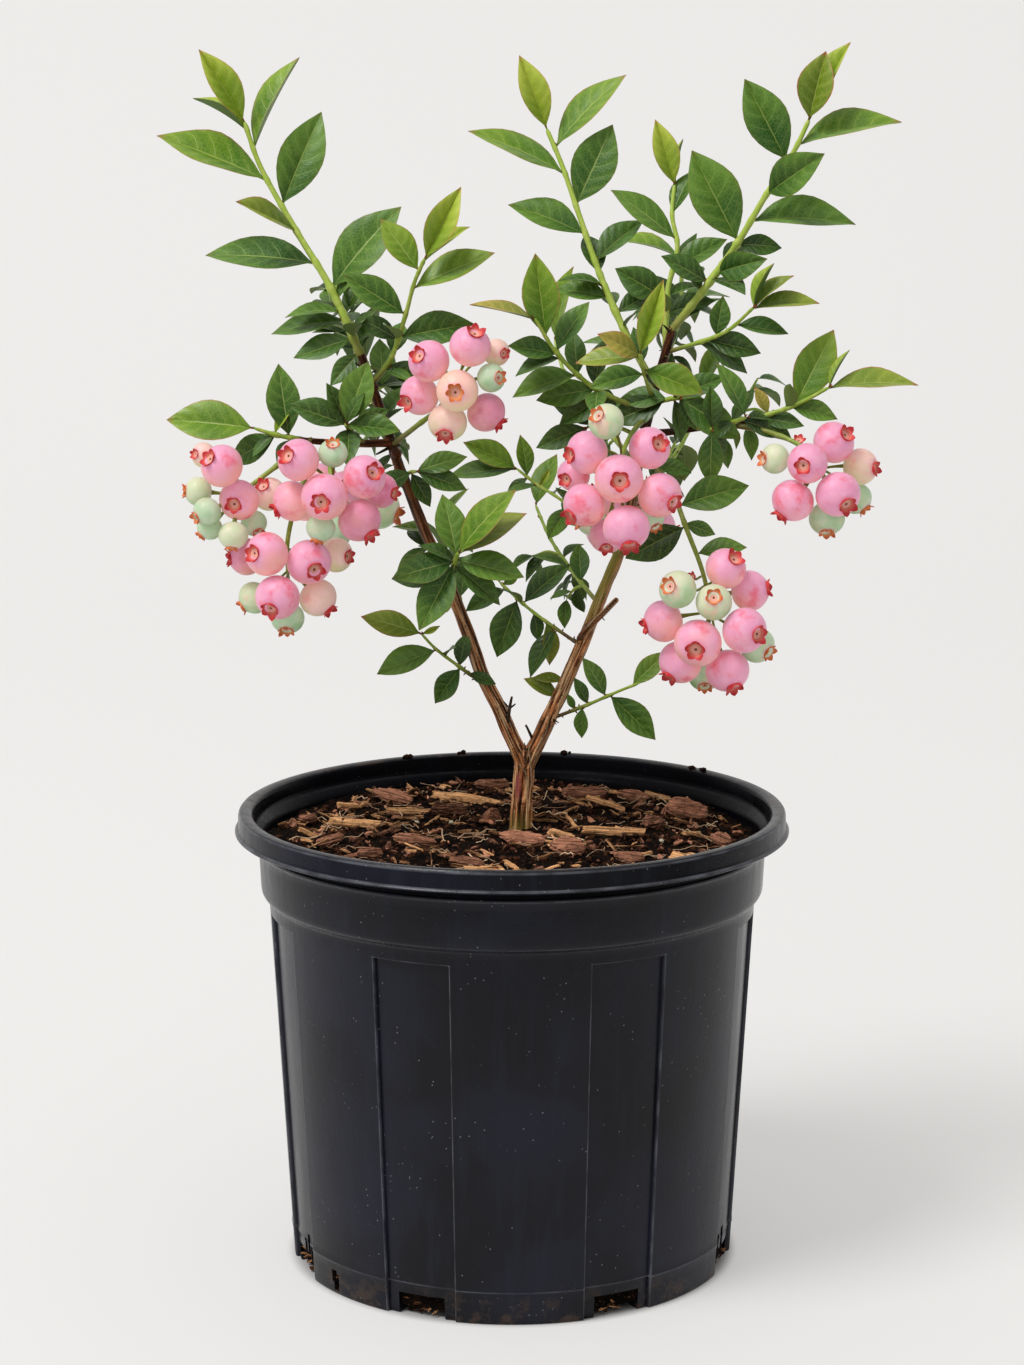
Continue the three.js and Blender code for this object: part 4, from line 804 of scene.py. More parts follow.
def pot_profile():
    """(radius, height) from the middle of the underside up the outside, over the lip and down the inside."""
    base, band, lip = BASE_RADIUS, BAND_RADIUS, LIP_RADIUS
    inside, ledge = BAND_RADIUS - WALL, BODY_TOP_RADIUS - WALL
    underside = [(0, 0), (30, 0), (60, 0), (78, 0), (base - 1.0, 0), (base - 0.35, 0.2), (base, 0.8)]
    foot = [(outer_radius(z), z) for z in (2, 5, 9, CREASE_Z - 0.7)]
    crease = [(outer_radius(CREASE_Z) + CREASE_HEIGHT, CREASE_Z)]
    body = [(outer_radius(z), z) for z in (
        CREASE_Z + 0.7, 17, 30, 50, 70, 90, 110, 130, 142, PANEL_TOP_Z - 0.9, PANEL_TOP_Z - 0.25,
        PANEL_LINE_Z, PANEL_TOP_Z + 0.9, 149, STEP_Z - 1.6,
    )]
    step = [
        (BODY_TOP_RADIUS + 0.3, STEP_Z - 0.7), (band - 1.9, STEP_Z + 0.3), (band - 0.8, STEP_LINE_Z),
        (band - 0.2, STEP_Z + 2.4), (band, STEP_Z + 4), (band + 0.3, 163), (band + 0.6, 169),
    ]
    bead = [
        (band + 0.7, 171.6), (band + 1.1, 172.4), (band + 1.5, BEAD_Z), (band + 1.4, 173.8),
        (band + 0.9, 174.3), (band + 0.8, 176.8), (band + 1.5, 177.7),
    ]
    flange = [
        (lip - 3, 178.1), (lip - 0.5, 178.2), (lip, 178.6), (lip, 179.0),
        (lip - 0.4, 179.5), (lip - 1.1, 179.9),
    ]
    rim = [
        (lip - 1.3, 180.6), (lip - 1.4, 185.2), (lip - 1.6, LIP_EDGE_Z), (lip - 2.2, 186.7),
        (lip - 3.4, POT_HEIGHT), (lip - 5.2, 186.8), (lip - 6.4, 186.4), (105.4, 185.8),
    ]
    shelf = [
        (105.0, 184.8), (104.6, 181.4), (104.4, 180.2), (103.8, SHELF_Z), (101.8, 177.8), (101.0, 176.8),
        (inside + 0.2, 175),
    ]
    well = [
        (inside, 172), (inside, STEP_Z + 7), (ledge, STEP_Z + 4.5), (ledge, STEP_Z), (base - WALL, FLOOR),
        (60, FLOOR), (0, FLOOR),
    ]
    return [*underside, *foot, *crease, *body, *step, *bead, *flange, *rim, *shelf, *well]


def bearing_of(points):
    """Degrees from -Y towards +X."""
    return np.degrees(np.arctan2(points[:, 0], -points[:, 1]))


def from_panel(bearings):
    """Degrees from the middle of the nearest panel."""
    gaps = np.abs((bearings[:, None] - np.array(PANEL_BEARINGS) + 180) % 360 - 180)
    return gaps.min(axis=1)


def snap_columns(points):
    """Moves the pot's lines nearest to each panel edge onto it, so that the edge is crisp."""
    step = 360 / POT_STEPS
    columns = np.round(bearing_of(points) / step).astype(int) % POT_STEPS
    bearings = np.arange(POT_STEPS) * step
    for middle in PANEL_BEARINGS:
        for edge in (middle - PANEL_SPAN / 2, middle + PANEL_SPAN / 2):
            first = math.floor(edge / step) - 1
            for k, shift in enumerate(EDGE_LINES):
                bearings[(first + k) % POT_STEPS] = edge + shift
    radii = np.hypot(points[:, 0], points[:, 1])
    turn = np.radians(bearings[columns])
    return np.column_stack([radii * np.sin(turn), -radii * np.cos(turn), points[:, 2]])


def sink_panels(pot):
    """Draws the panels' faces in towards the axis."""
    points = places(pot)
    radii = np.hypot(points[:, 0], points[:, 1])
    outside = radii > outer_radius(points[:, 2]) - 1.8
    chosen = outside & (points[:, 2] < PANEL_TOP_Z) & (from_panel(bearing_of(points)) < PANEL_SPAN / 2)
    only(pot)
    bpy.ops.object.mode_set(mode="EDIT")
    bpy.ops.mesh.select_mode(type="VERT")
    bpy.ops.mesh.select_all(action="DESELECT")
    bpy.ops.object.mode_set(mode="OBJECT")
    pot.data.vertices.foreach_set("select", chosen)
    bpy.ops.object.mode_set(mode="EDIT")
    share = 1 - PANEL_DEPTH / ((BASE_RADIUS + BODY_TOP_RADIUS) / 2)
    bpy.ops.transform.resize(value=(share, share, 1), center_override=(0, 0, 0))
    bpy.ops.object.mode_set(mode="OBJECT")


def cutter(bearing, width, low, high, inner, outer):
    """A block that stands across a radius of the pot, from inner to outer."""
    turn = math.radians(bearing)
    middle = (inner + outer) / 2
    where = (middle * math.sin(turn) * MM, -middle * math.cos(turn) * MM, (low + high) / 2 * MM)
    bpy.ops.mesh.primitive_cube_add(size=1, location=where, rotation=(0, 0, turn))
    block = bpy.context.object
    block.scale = (width * MM, (outer - inner) * MM, (high - low) * MM)
    return block


def cut_notches(pot):
    width = 2 * BASE_RADIUS * math.sin(math.radians(NOTCH_SPAN / 2))
    blocks = [
        cutter(bearing, width, -2, NOTCH_HEIGHT, BASE_RADIUS - NOTCH_REACH, LIP_RADIUS)
        for bearing in PANEL_BEARINGS
    ]
    blocks += [cutter(*crack, *CRACK_REACH) for crack in CRACKS]
    for block in blocks:
        cut = pot.modifiers.new("notch", "BOOLEAN")
        cut.object = block
        cut.solver = "EXACT"
        only(pot)
        bpy.ops.object.modifier_apply(modifier=cut.name)
        bpy.data.objects.remove(block)


def mark_pot(pot):
    """Scuffs and painted highlights on the moulded edges, soil near the foot and on the lip, and painted shade
    inside the pot, under the lip and on the lip.
    """
    points = places(pot)
    radii = np.hypot(points[:, 0], points[:, 1])
    z = points[:, 2]

    def near(height, tolerance=0.2):
        return np.abs(z - height) < tolerance

    outside = radii > outer_radius(z) - 2
    gap = from_panel(bearing_of(points)) - PANEL_SPAN / 2
    upright = outside & (np.abs(gap - EDGE_LINE) < 0.05) & (z < PANEL_TOP_Z + 0.3)
    level = outside & near(PANEL_LINE_Z, 0.05) & (gap < 0.3)
    crease = outside & near(CREASE_Z, 0.1)
    bead = near(BEAD_Z) & (radii > BAND_RADIUS)
    step = near(STEP_LINE_Z) & (radii > BODY_TOP_RADIUS)
    flange = near(FLANGE_Z, 0.3) & (radii > LIP_RADIUS - 1)
    lip = near(LIP_EDGE_Z) & (radii > 109)
    shelf = near(SHELF_Z, 0.1) & (radii < 105)
    # Painted highlights, with scuffs: pale lines along the panel edges, the crease, the bead, the step, the
    # flange, the lip and the shelf.
    wear_and_highlight = 0.6 * upright + 0.5 * level + 0.45 * crease + 0.5 * bead + 0.3 * step
    wear_and_highlight += 0.8 * (flange | lip) + 0.4 * shelf
    soil = np.clip(1 - z / 16, 0, 1) * 0.7 + 0.5 * ((z > 186) & (radii < 110))
    # Painted shade: the inside of the pot and the gap under the lip are fully dark, and the lip is a little
    # darker.
    inside = (z > 174) & (radii < 105.5) | (z > 20) & ~outside
    inside = np.maximum(inside, 0.2 * (z > 179))
    mark_points(pot.data, np.column_stack([wear_and_highlight, soil, inside]))


def build_pot():
    pot = spun("nursery_pot", pot_profile(), POT_STEPS)
    move_points(pot, snap_columns(places(pot)))
    sink_panels(pot)
    cut_notches(pot)
    mark_pot(pot)
    pot.data.materials.append(plastic())
    smooth(pot, 32)
    seat(pot, "black_plastic", "pot")


# ------------------------------------------------------------------------------------------------------------
# Potting mix
# ------------------------------------------------------------------------------------------------------------

MIX_STEPS = 260
MIX_RINGS = 84
MIX_RADIUS = BAND_RADIUS - WALL - 0.1
MIX_LEDGE_RADIUS = 95.4
MIX_FOOT_RADIUS = BASE_RADIUS - WALL - 0.7
MIX_FOOT_Z = FLOOR + 0.4
BANK = (30, 50, 1.5)  # the mix lies higher behind: from y, over this much of y, by this much
TRUNK_FOOT = (3.3, 0)

# Larger bits, in places of their own: x, y, length, width, thickness, turn about Z, tilt, tone.
BARK_CHIPS = (
    (5, -24, 24, 12, 5, -4, 10, 0.75), (22, -40, 19, 12, 6, 8, 14, 0.65), (-39, -24, 20, 9, 5, -12, 8, 0.45),
    (-74, -18, 16, 11, 4, 35, -14, 0.5), (72, 30, 24, 15, 6, 14, 24, 0.6), (-50, 52, 22, 10, 5, -30, 14, 0.5),
    (30, 62, 24, 10, 5, 20, 12, 0.4), (-8, 14, 9, 14, 5, 20, 62, 0.35), (-26, 26, 18, 12, 6, 40, 18, 0.1),
    (46, -46, 15, 9, 4, -30, 8, 0.35), (-56, -46, 14, 9, 4, 24, 10, 0.3), (58, 4, 16, 10, 5, 60, 12, 0.25),
    (-18, -58, 18, 9, 4, -24, 6, 0.25), (-84, 20, 14, 8, 4, 70, 10, 0.3), (84, -16, 15, 9, 4, -60, 10, 0.35),
    (8, 40, 14, 9, 4, 80, 12, 0.3), (52, 58, 16, 9, 4, -10, 16, 0.45), (-8, 84, 18, 9, 5, 10, 12, 0.35),
)
SLIVERS = (
    (-62, 12, 27, 4.5, 3, -8, 4, 0.75), (-40, 34, 26, 4, 2.6, 18, 6, 0.55),
    (-19, 52, 30, 5, 3.4, -14, 5, 0.7), (-66, 42, 20, 4, 2.2, 48, 14, 0.6), (41, -12, 26, 4.5, 3, 9, 5, 0.5),
    (26, 6, 15, 1.8, 1.2, -62, 22, 0.9), (20, -14, 13, 4.5, 2.4, 28, 20, 0.95),
    (-11, -72, 16, 5, 2, 12, 6, 0.85), (69, -44, 13, 6, 2.4, -14, 8, 0.8), (40, 40, 18, 3, 2, -30, 10, 0.6),
    (88, 26, 12, 3, 2, 74, 24, 0.7), (-82, -2, 12, 3, 2, 30, 30, 0.7), (10, 72, 16, 3, 2, 40, 22, 0.6),
    (64, 62, 16, 3, 2, -20, 14, 0.55),
)
PERLITE = ((-25, 4), (-39, 10), (26, 12), (-20, 40), (60, -20), (-70, 50))  # x, y
RIM_CRUMBS = (-46, -22, 22, 24, 78, 82)  # x of each little heap on the back of the rim
RIM_RADIUS = 107.5
DEBRIS = {"crumbs": 3200, "flakes": 460, "slivers": 190, "fibres": 170}

# Mix that shows in the foot: bearing, degrees to either side, crumbs and slivers.
SPILLS = [(bearing, NOTCH_SPAN / 2 - 1, 16, 5) for bearing in PANEL_BEARINGS] + [(-50.8, 1.2, 6, 1)]


def ground(x, y):
    """Height of the crumbly surface."""
    start, run, rise = BANK
    reach = math.hypot(x, y)
    share = min(max((reach - GROUND_RADIUS) / (BAND_RADIUS - GROUND_RADIUS), 0), 1)
    height = GROUND_Z - (GROUND_Z - MIX_EDGE_Z) * share * share
    lumps = noise.noise(Vector((x / 17, y / 17, 0))) * 2.0 + noise.noise(Vector((x / 6, y / 6, 5))) * 1.7
    banked = rise * min(max((y - start) / run, 0), 1)
    return height + lumps + banked - 0.9


def mound_profile():
    """(radius, height) from the middle of the surface out to the wall, and down to the middle of the foot."""
    surface = [(MIX_RADIUS * (k / MIX_RINGS), GROUND_Z) for k in range(MIX_RINGS + 1)]
    shoulder = [(MIX_RADIUS, 160), (MIX_LEDGE_RADIUS, 157.5), (MIX_LEDGE_RADIUS, STEP_Z)]
    flank = [
        (MIX_FOOT_RADIUS + (MIX_LEDGE_RADIUS - MIX_FOOT_RADIUS) * k / 9, FLOOR + (STEP_Z - FLOOR) * k / 9)
        for k in range(8, 0, -1)
    ]
    return [*surface, *shoulder, *flank, (MIX_FOOT_RADIUS, MIX_FOOT_Z), (50, MIX_FOOT_Z), (0, MIX_FOOT_Z)]


def build_mound():
    mound = spun("peat", mound_profile(), MIX_STEPS)
    points = places(mound)
    top = points[:, 2] > GROUND_Z - 1
    lifts = np.array([ground(x, y) for x, y in points[top, :2]])
    points[top, 2] = lifts + 0.55 * rough(points[top], 2.6)
    flanks = ~top & (points[:, 2] > FLOOR + 1)
    pushed = 1 - 0.012 * np.clip(0.6 + rough(points[flanks], 9, 2), 0, 2)
    points[flanks, 0] *= pushed
    points[flanks, 1] *= pushed
    move_points(mound, points)
    mound.data.materials.append(earth())
    smooth(mound, 60)
    seat(mound, "potting_mix", "potting_mix")


def placed(points, where, turn, tilt, spin=0.0):
    """points tilted about Y, spun about X and turned about Z, then moved."""
    a, b, c = (math.radians(v) for v in (turn, tilt, spin))
    about_x = np.array([[1, 0, 0], [0, math.cos(c), -math.sin(c)], [0, math.sin(c), math.cos(c)]])
    about_y = np.array([[math.cos(b), 0, math.sin(b)], [0, 1, 0], [-math.sin(b), 0, math.cos(b)]])
    about_z = np.array([[math.cos(a), -math.sin(a), 0], [math.sin(a), math.cos(a), 0], [0, 0, 1]])
    return points @ (about_z @ about_y @ about_x).T + where


def cross(a, b):
    return a[..., 0] * b[..., 1] - a[..., 1] * b[..., 0]


def polygon_reach(roll, count, corners, ragged):
    """How far a polygon with uneven corners reaches at each of count even angles, at most 1."""
    turns = np.array([2 * math.pi * (k + 0.7 * roll()) / corners for k in range(corners + 1)])
    tips = np.array([1 - ragged * roll() for _ in turns])
    turns[-1], tips[-1] = turns[0] + 2 * math.pi, tips[0]
    ends = np.column_stack([np.cos(turns), np.sin(turns)]) * tips[:, None]
    angles = np.linspace(0, 2 * math.pi, count, endpoint=False)
    edge = (np.searchsorted(turns, angles, side="right") - 1) % corners
    start, run = ends[edge], ends[edge + 1] - ends[edge]
    ray = np.column_stack([np.cos(angles), np.sin(angles)])
    return cross(start, run) / cross(ray, run)


SLAB_LAYERS = ((0.8, -0.5), (0.97, -0.2), (0.92, 0.0), (1.0, 0.16), (0.9, 0.4))  # reach and height


def slab(roll, length, width, thick, points_round, ragged, corners, inner=(0.45,)):
    """An angular flake in ragged layers, with finer ones on top at the inner shares of its reach."""
    angles = np.linspace(0, 2 * math.pi, points_round, endpoint=False)
    reach = polygon_reach(roll, points_round, corners, ragged)
    x, y = 0.54 * length * reach * np.cos(angles), 0.54 * width * reach * np.sin(angles)
    seed = 50 * roll()
    layers = []
    for inset, height in SLAB_LAYERS:
        jitter = np.array([1 + 0.08 * (roll() - 0.5) for _ in angles])
        lift = np.array([0.16 * (roll() - 0.5) for _ in angles])
        layers.append(np.column_stack([x * inset * jitter, y * inset * jitter, (height + lift) * thick]))
    for inset in inner:
        ridge = [noise.noise(Vector((px * inset / 7, py * inset / 1.3, seed))) for px, py in zip(x, y)]
        layers.append(np.column_stack([x * inset, y * inset, (0.5 + 0.5 * np.array(ridge)) * thick]))
    points = np.concatenate([*layers, [[0, 0, -0.5 * thick], [0, 0, 0.5 * thick]]])
    return points, tube_faces(len(layers), points_round)


SPLIT_SECTION = ((0.5, 0.1), (0.3, 0.5), (-0.3, 0.42), (-0.5, 0), (-0.28, -0.5), (0.34, -0.46))
SPLIT_STEPS = 6


def sliver(roll, length, width, thick):
    """A split of wood with ragged ends."""
    section = [(y * (0.8 + 0.4 * roll()), z * (0.8 + 0.4 * roll())) for y, z in SPLIT_SECTION]
    rings = []
    for k in range(SPLIT_STEPS):
        share = k / (SPLIT_STEPS - 1)
        taper = 0.55 + 0.45 * math.sin(math.pi * min(max(share, 0.08), 0.92)) ** 0.4
        sway = (roll() - 0.5) * 0.3 * width
        ragged = 2.2 if k in (0, SPLIT_STEPS - 1) else 0.6
        rings.append([
            ((share - 0.5) * length + (roll() - 0.5) * ragged, y * width * taper + sway, z * thick * taper)
            for y, z in section
        ])
    ends = [np.mean(rings[0], axis=0), np.mean(rings[-1], axis=0)]
    return np.concatenate([*rings, ends]), tube_faces(SPLIT_STEPS, len(SPLIT_SECTION))


def crumb(roll, size):
    """A lump with twelve corners."""
    points = CRUMB_POINTS * np.array([[0.7 + 0.5 * roll()] for _ in CRUMB_POINTS])
    sizes = np.array([0.6 + 0.5 * roll(), 0.6 + 0.4 * roll(), 0.4 + 0.3 * roll()])
    return points * (size * sizes), CRUMB_FACES


def lump_template():
    bpy.ops.mesh.primitive_ico_sphere_add(subdivisions=1, radius=1)
    lump = bpy.context.object
    points = places(lump) * MM
    faces = [tuple(face.vertices) for face in lump.data.polygons]
    bpy.data.objects.remove(lump)
    return points, faces


CRUMB_POINTS, CRUMB_FACES = lump_template()


def litter(heap, shape, where, turn, tilt, spin, tone):
    """Lays a shape down. Its marks run along it and across it, and hold its tone."""
    points, faces = shape
    marks = np.column_stack([points[:, 0], points[:, 1] + 1.7 * points[:, 2], np.full(len(points), tone)])
    heap.add(placed(points, where, turn, tilt, spin), faces, marks)


def somewhere(roll, inner, outer):
    """A random place on the mix, clear of the trunk by inner and of the wall by outer."""
    while True:
        reach = (MIX_RADIUS - 2.5 - outer) * math.sqrt(roll())
        angle = 2 * math.pi * roll()
        x, y = reach * math.cos(angle), reach * math.sin(angle)
        if math.hypot(x - TRUNK_FOOT[0], y - TRUNK_FOOT[1]) > inner:
            return x, y


def lay_large_bits(roll, chips, splits):
    for x, y, length, width, thick, turn, tilt, tone in BARK_CHIPS:
        shape = slab(roll, length, width, 0.75 * thick, 36, 0.34, 7, (0.78, 0.6, 0.42, 0.24, 0.1))
        litter(chips, shape, (x, y, ground(x, y) + 0.45 * thick), turn, tilt / 2, tilt, tone)
    for x, y, length, width, thick, turn, tilt, tone in SLIVERS:
        litter(splits, sliver(roll, length, width, thick), (x, y, ground(x, y) + 1.2), turn, tilt, 20, tone)


def lay_flakes(roll, chips):
    for _ in range(DEBRIS["flakes"]):
        size = 2 + 9 * roll() ** 3
        x, y = somewhere(roll, 8 + size / 2, size / 2)
        shape = slab(roll, size, size * (0.28 + 0.35 * roll()), 0.4 + 0.09 * size, 8, 0.45, 5)
        turn, tilt, spin = 360 * roll(), 70 * (roll() - 0.5), 80 * (roll() - 0.5)
        litter(chips, shape, (x, y, ground(x, y) + 0.7), turn, tilt, spin, 1.5 * roll() ** 2.6)


def lay_slivers(roll, splits):
    for _ in range(DEBRIS["slivers"]):
        length = 3 + 14 * roll() ** 2
        x, y = somewhere(roll, 6 + length / 2, length / 2)
        shape = sliver(roll, length, 0.6 + 1.6 * roll(), 0.5 + 0.9 * roll())
        turn, tilt, spin = 360 * roll(), 50 * (roll() - 0.5), 360 * roll()
        litter(splits, shape, (x, y, ground(x, y) + 1.1), turn, tilt, spin, roll() ** 2)


def lay_crumbs(roll, crumbs):
    for _ in range(DEBRIS["crumbs"]):
        size = 0.5 + 1.5 * roll() ** 2
        x, y = somewhere(roll, 6, size)
        shape = crumb(roll, size)
        litter(crumbs, shape, (x, y, ground(x, y) + 0.2 * size), 360 * roll(), 40 * roll(), 0, roll())


def lay_fibres(roll, fibres):
    """Thin roots and threads of bark that follow the surface."""
    for _ in range(DEBRIS["fibres"]):
        x, y = somewhere(roll, 8, 7)
        turn, length = 2 * math.pi * roll(), 5 + 14 * roll() ** 2
        middles = []
        for k in range(6):
            step = length * (k / 5 - 0.5)
            bend = turn + 0.4 * (roll() - 0.5)
            px, py = x + step * math.cos(bend), y + step * math.sin(bend)
            middles.append((px, py, ground(px, py) + 1.3 + 1.6 * roll() ** 2))
        points, faces = tube(middles, 0.1 + 0.16 * roll() ** 2, 4)
        fibres.add(points, faces, (length * roll(), 0, roll()))


def lay_perlite(roll, white):
    for x, y in PERLITE:
        shape = crumb(roll, 0.9 + 0.9 * roll())
        litter(white, shape, (x, y, ground(x, y) + 1.2), 360 * roll(), 30, 0, 0.5)


def seat_wood(name, heap, dark, light, streak, smooth_angle):
    """One kind of loose wood on the mix as a piece with a finish of its own."""
    seat(piece_from(name, heap, [wood(name, dark, light, streak)], smooth_angle), "potting_mix")


def build_litter():
    chips, splits, crumbs, fibres, white = Heap(), Heap(), Heap(), Heap(), Heap()
    roll = dice(71)
    lay_large_bits(roll, chips, splits)
    lay_flakes(roll, chips)
    lay_slivers(roll, splits)
    lay_crumbs(roll, crumbs)
    lay_fibres(roll, fibres)
    lay_perlite(roll, white)
    spill(roll, crumbs, splits)
    seat_wood("bark_chips", chips, rgb(24, 13, 8), rgb(218, 152, 120), 0.4, 26)
    seat_wood("wood_slivers", splits, rgb(58, 30, 17), rgb(255, 192, 134), 0.45, 28)
    seat_wood("soil_crumbs", crumbs, rgb(6, 3, 2), rgb(88, 52, 34), 0.4, 30)
    seat_wood("fibres", fibres, rgb(124, 82, 52), rgb(255, 224, 184), 0.3, 60)
    seat(piece_from("perlite_bits", white, [perlite()], 30), "potting_mix")


def spill(roll, crumbs, splits):
    """Mix that shows in the drain notches, and crumbs left on the rim."""
    for bearing, half, crumb_count, sliver_count in SPILLS:
        for _ in range(crumb_count):
            turn = math.radians(bearing + half * (2 * roll() - 1))
            reach = 82 + 6.0 * roll()
            where = (reach * math.sin(turn), -reach * math.cos(turn), 0.9 + (NOTCH_HEIGHT - 2.5) * roll())
            litter(crumbs, crumb(roll, 0.6 + 1.2 * roll()), where, 360 * roll(), 60 * roll(), 0, roll())
        for _ in range(sliver_count):
            turn = math.radians(bearing + half * (2 * roll() - 1))
            where = (87 * math.sin(turn), -87 * math.cos(turn), 2.5 + 4 * roll())
            shape = sliver(roll, 4 + 3 * roll(), 1, 0.8)
            litter(splits, shape, where, bearing + 90 * roll(), 60 * (roll() - 0.5), 0, 0.3 * roll())
    for x in RIM_CRUMBS:
        for _ in range(4):
            turn = math.asin(x / 108) + 0.03 * (roll() - 0.5)
            reach = RIM_RADIUS + 2 * (roll() - 0.5)
            where = (reach * math.sin(turn), reach * math.cos(turn), POT_HEIGHT + 0.3)
            litter(crumbs, crumb(roll, 0.7 + 1.3 * roll()), where, 360 * roll(), 0, 0, 0.3 * roll())


# ------------------------------------------------------------------------------------------------------------
# Wood
# ------------------------------------------------------------------------------------------------------------

STAIN_X, STAIN_Z = 2.6, 196  # the middle of a bare reddish strip on the trunk
STAIN_SIZE = (1.2, 6.5)
GREEN_FOOT_Z = 186  # below this the trunk is greenish
GREEN_STRETCH = (0.28, 0.62)  # where the right stem is greenish
YOUTH, RIGHT_YOUTH = 0.35, 0.12  # taken from the bark's age, on the right stem less than elsewhere
VOXEL = 0.42
RELIEF = 0.46  # depth of the fissures on the trunk
FISSURE = (1.25, 26)  # width and length of the fissures
THREAD = (0.6, 12)
LIMB_STEP = 1.5


def limb_radius(limb, share):
    _, root, tip, swell = limb
    return root + (tip - root) * share**0.6 + swell * (1 - share) ** 4


def limb_skeleton(name, limb):
    """The points down the middle of a limb, with the radius, the run and the share of the length at each."""
    path = Path(limb[0])
    shares = np.linspace(0, 1, int(path.length / LIMB_STEP))
    radii = np.array([limb_radius(limb, s) for s in shares])
    sway = 0.1 if name == "trunk" else 0.35
    wander = np.array([
        [noise.noise(Vector((s * path.length / 16, k * 7.3, len(name)))) for k in range(3)] for s in shares
    ])
    middles = path.at(shares) + sway * radii.mean() * wander * np.sin(math.pi * shares)[:, None]
    swell = np.array([noise.noise(Vector((s * path.length / 7, 3, len(name)))) for s in shares])
    return middles, radii * (1 + 0.07 * swell), path.run[-1] * shares, shares


def apply_modifier(piece, name, kind, **settings):
    made = piece.modifiers.new(name, kind)
    for key, value in settings.items():
        setattr(made, key, value)
    only(piece)
    bpy.ops.object.modifier_apply(modifier=made.name)


def build_wood():
    """The trunk and limbs as one skin with fissured bark."""
    heap = Heap()
    spots, owners = [], []
    for name, limb in LIMBS.items():
        middles, radii, runs, shares = limb_skeleton(name, limb)
        heap.add(*tube(middles, radii, 18))
        spots.extend(middles)
        owners.extend(zip(square_frames(middles), runs, radii, [name] * len(shares), shares))
    for start, collar in joints():
        heap.add(*tube([start - UP * 0.1, start, start + UP * 0.1], collar, 10))
    for middle, size in KNOTS:
        heap.add(CRUMB_POINTS * size + np.array(middle), CRUMB_FACES)
    skin = piece_from("bark_skin", heap, [])
    apply_modifier(skin, "remesh", "REMESH", mode="VOXEL", voxel_size=VOXEL * MM)
    apply_modifier(skin, "soften", "SMOOTH", factor=0.5, iterations=4)
    carve(skin, spots, owners)
    skin.data.materials.append(bark())
    smooth(skin, 70)
    seat(skin, "bark", *LIMBS)


def square_frames(middles):
    """Two directions square to a limb at each of its points, turned as little as they can be along it."""
    ahead = np.gradient(middles, axis=0)
    ahead /= np.linalg.norm(ahead, axis=1)[:, None]
    side = square_to(FRONT, ahead[0])
    frames = []
    for heading in ahead:
        side = square_to(side, heading)
        frames.append((side, np.cross(heading, side)))
    return frames


# Swellings where buds or twigs were, up the trunk, the left stem and the right stem: middle, radius.
KNOTS = (
    ((4.2, -3.6, 190), 1.5), ((-6, -1.5, 229), 1.9), ((-13, 2, 243), 2.2), ((-27, 1.5, 281), 2.1),
    ((-46, 1, 331), 2.6), ((-55, 2, 357), 2.4), ((15, -1, 223), 2.4), ((28, -1, 256), 2.5),
    ((43, 1, 291), 2.2), ((52, 1, 336), 2.4), ((56, 2, 352), 2.3),
)


def joints():
    """Where a smaller limb leaves another: its start, and the radius of a collar round it."""
    for name in ("left_branch", "right_branch", "dead_stub"):
        points, root, _, _ = LIMBS[name]
        yield np.array(points[0], float), (root + 0.6) * 1.08


def stain_at(name, share, point, round_y):
    """Above 0 on the bare red strip, and below 0 where the bark is green."""
    if name == "right_stem":
        start, end = GREEN_STRETCH
        if not start < share < end:
            return 0.0
        return -math.sin(math.pi * (share - start) / (end - start)) * min(max(0.9 - 0.8 * round_y, 0.0), 1.0)
    if name != "trunk":
        return 0.0
    if point[2] < GREEN_FOOT_Z:
        return -0.8 * min((GREEN_FOOT_Z - point[2]) / 10, 1)
    off_x, off_z = (point[0] - STAIN_X) / STAIN_SIZE[0], (point[2] - STAIN_Z) / STAIN_SIZE[1]
    beside = off_x**2 + off_z**2
    return 0.9 * min(2 - 2 * beside, 1.0) if point[1] < 1 and beside < 1 else 0.0


def grain(x, y, run, offset, width, length):
    """Noise with features of a width round a limb and a length along it."""
    return noise.noise(Vector((x / width, y / width, run / length + offset)))


def carve(skin, spots, owners):
    """Cuts fissures that run along each limb, and marks the skin for its finish."""
    tree = kdtree.KDTree(len(spots))
    for k, spot in enumerate(spots):
        tree.insert(Vector(spot), k)
    tree.balance()
    points = places(skin)
    normals = np.empty(len(points) * 3)
    skin.data.vertices.foreach_get("normal", normals)
    normals = normals.reshape(-1, 3)
    marks, tones = np.zeros((len(points), 3)), np.zeros((len(points), 3))
    moved = points.copy()
    for k, point in enumerate(points):
        _, index, _ = tree.find(Vector(point))
        (side, other), run, radius, name, share = owners[index]
        out = unit(point - spots[index])
        round_x, round_y = np.dot(out, side), np.dot(out, other)
        offset = sum(map(ord, name)) % 17
        ridge = 1 - 2 * abs(grain(round_x * radius, round_y * radius, run, offset, *FISSURE))
        thread = grain(round_x * radius, round_y * radius, run, offset, *THREAD)
        old = max(0.0, 1 - (point[2] - 200) / 170)
        depth = RELIEF * (0.45 + 0.55 * old) * min(radius / 3.4, 1.2)
        moved[k] += normals[k] * (depth * (0.7 * ridge + 0.4 * thread))
        marks[k] = (round_x * radius / 4, round_y * radius / 4, run / 34 + offset)
        age = 1.4 * old - (RIGHT_YOUTH if name == "right_stem" else YOUTH)
        # How deep in the fissures this place is, darkened in the finish as painted shade.
        fissure_shade = min(max(0.55 - ridge, 0.0) * 2.0, 1.0)
        tones[k] = (min(max(age, 0.0), 1.0), fissure_shade, stain_at(name, share, point, round_y))
    move_points(skin, moved)
    mark_points(skin.data, marks)
    mark_points(skin.data, tones, "tone")


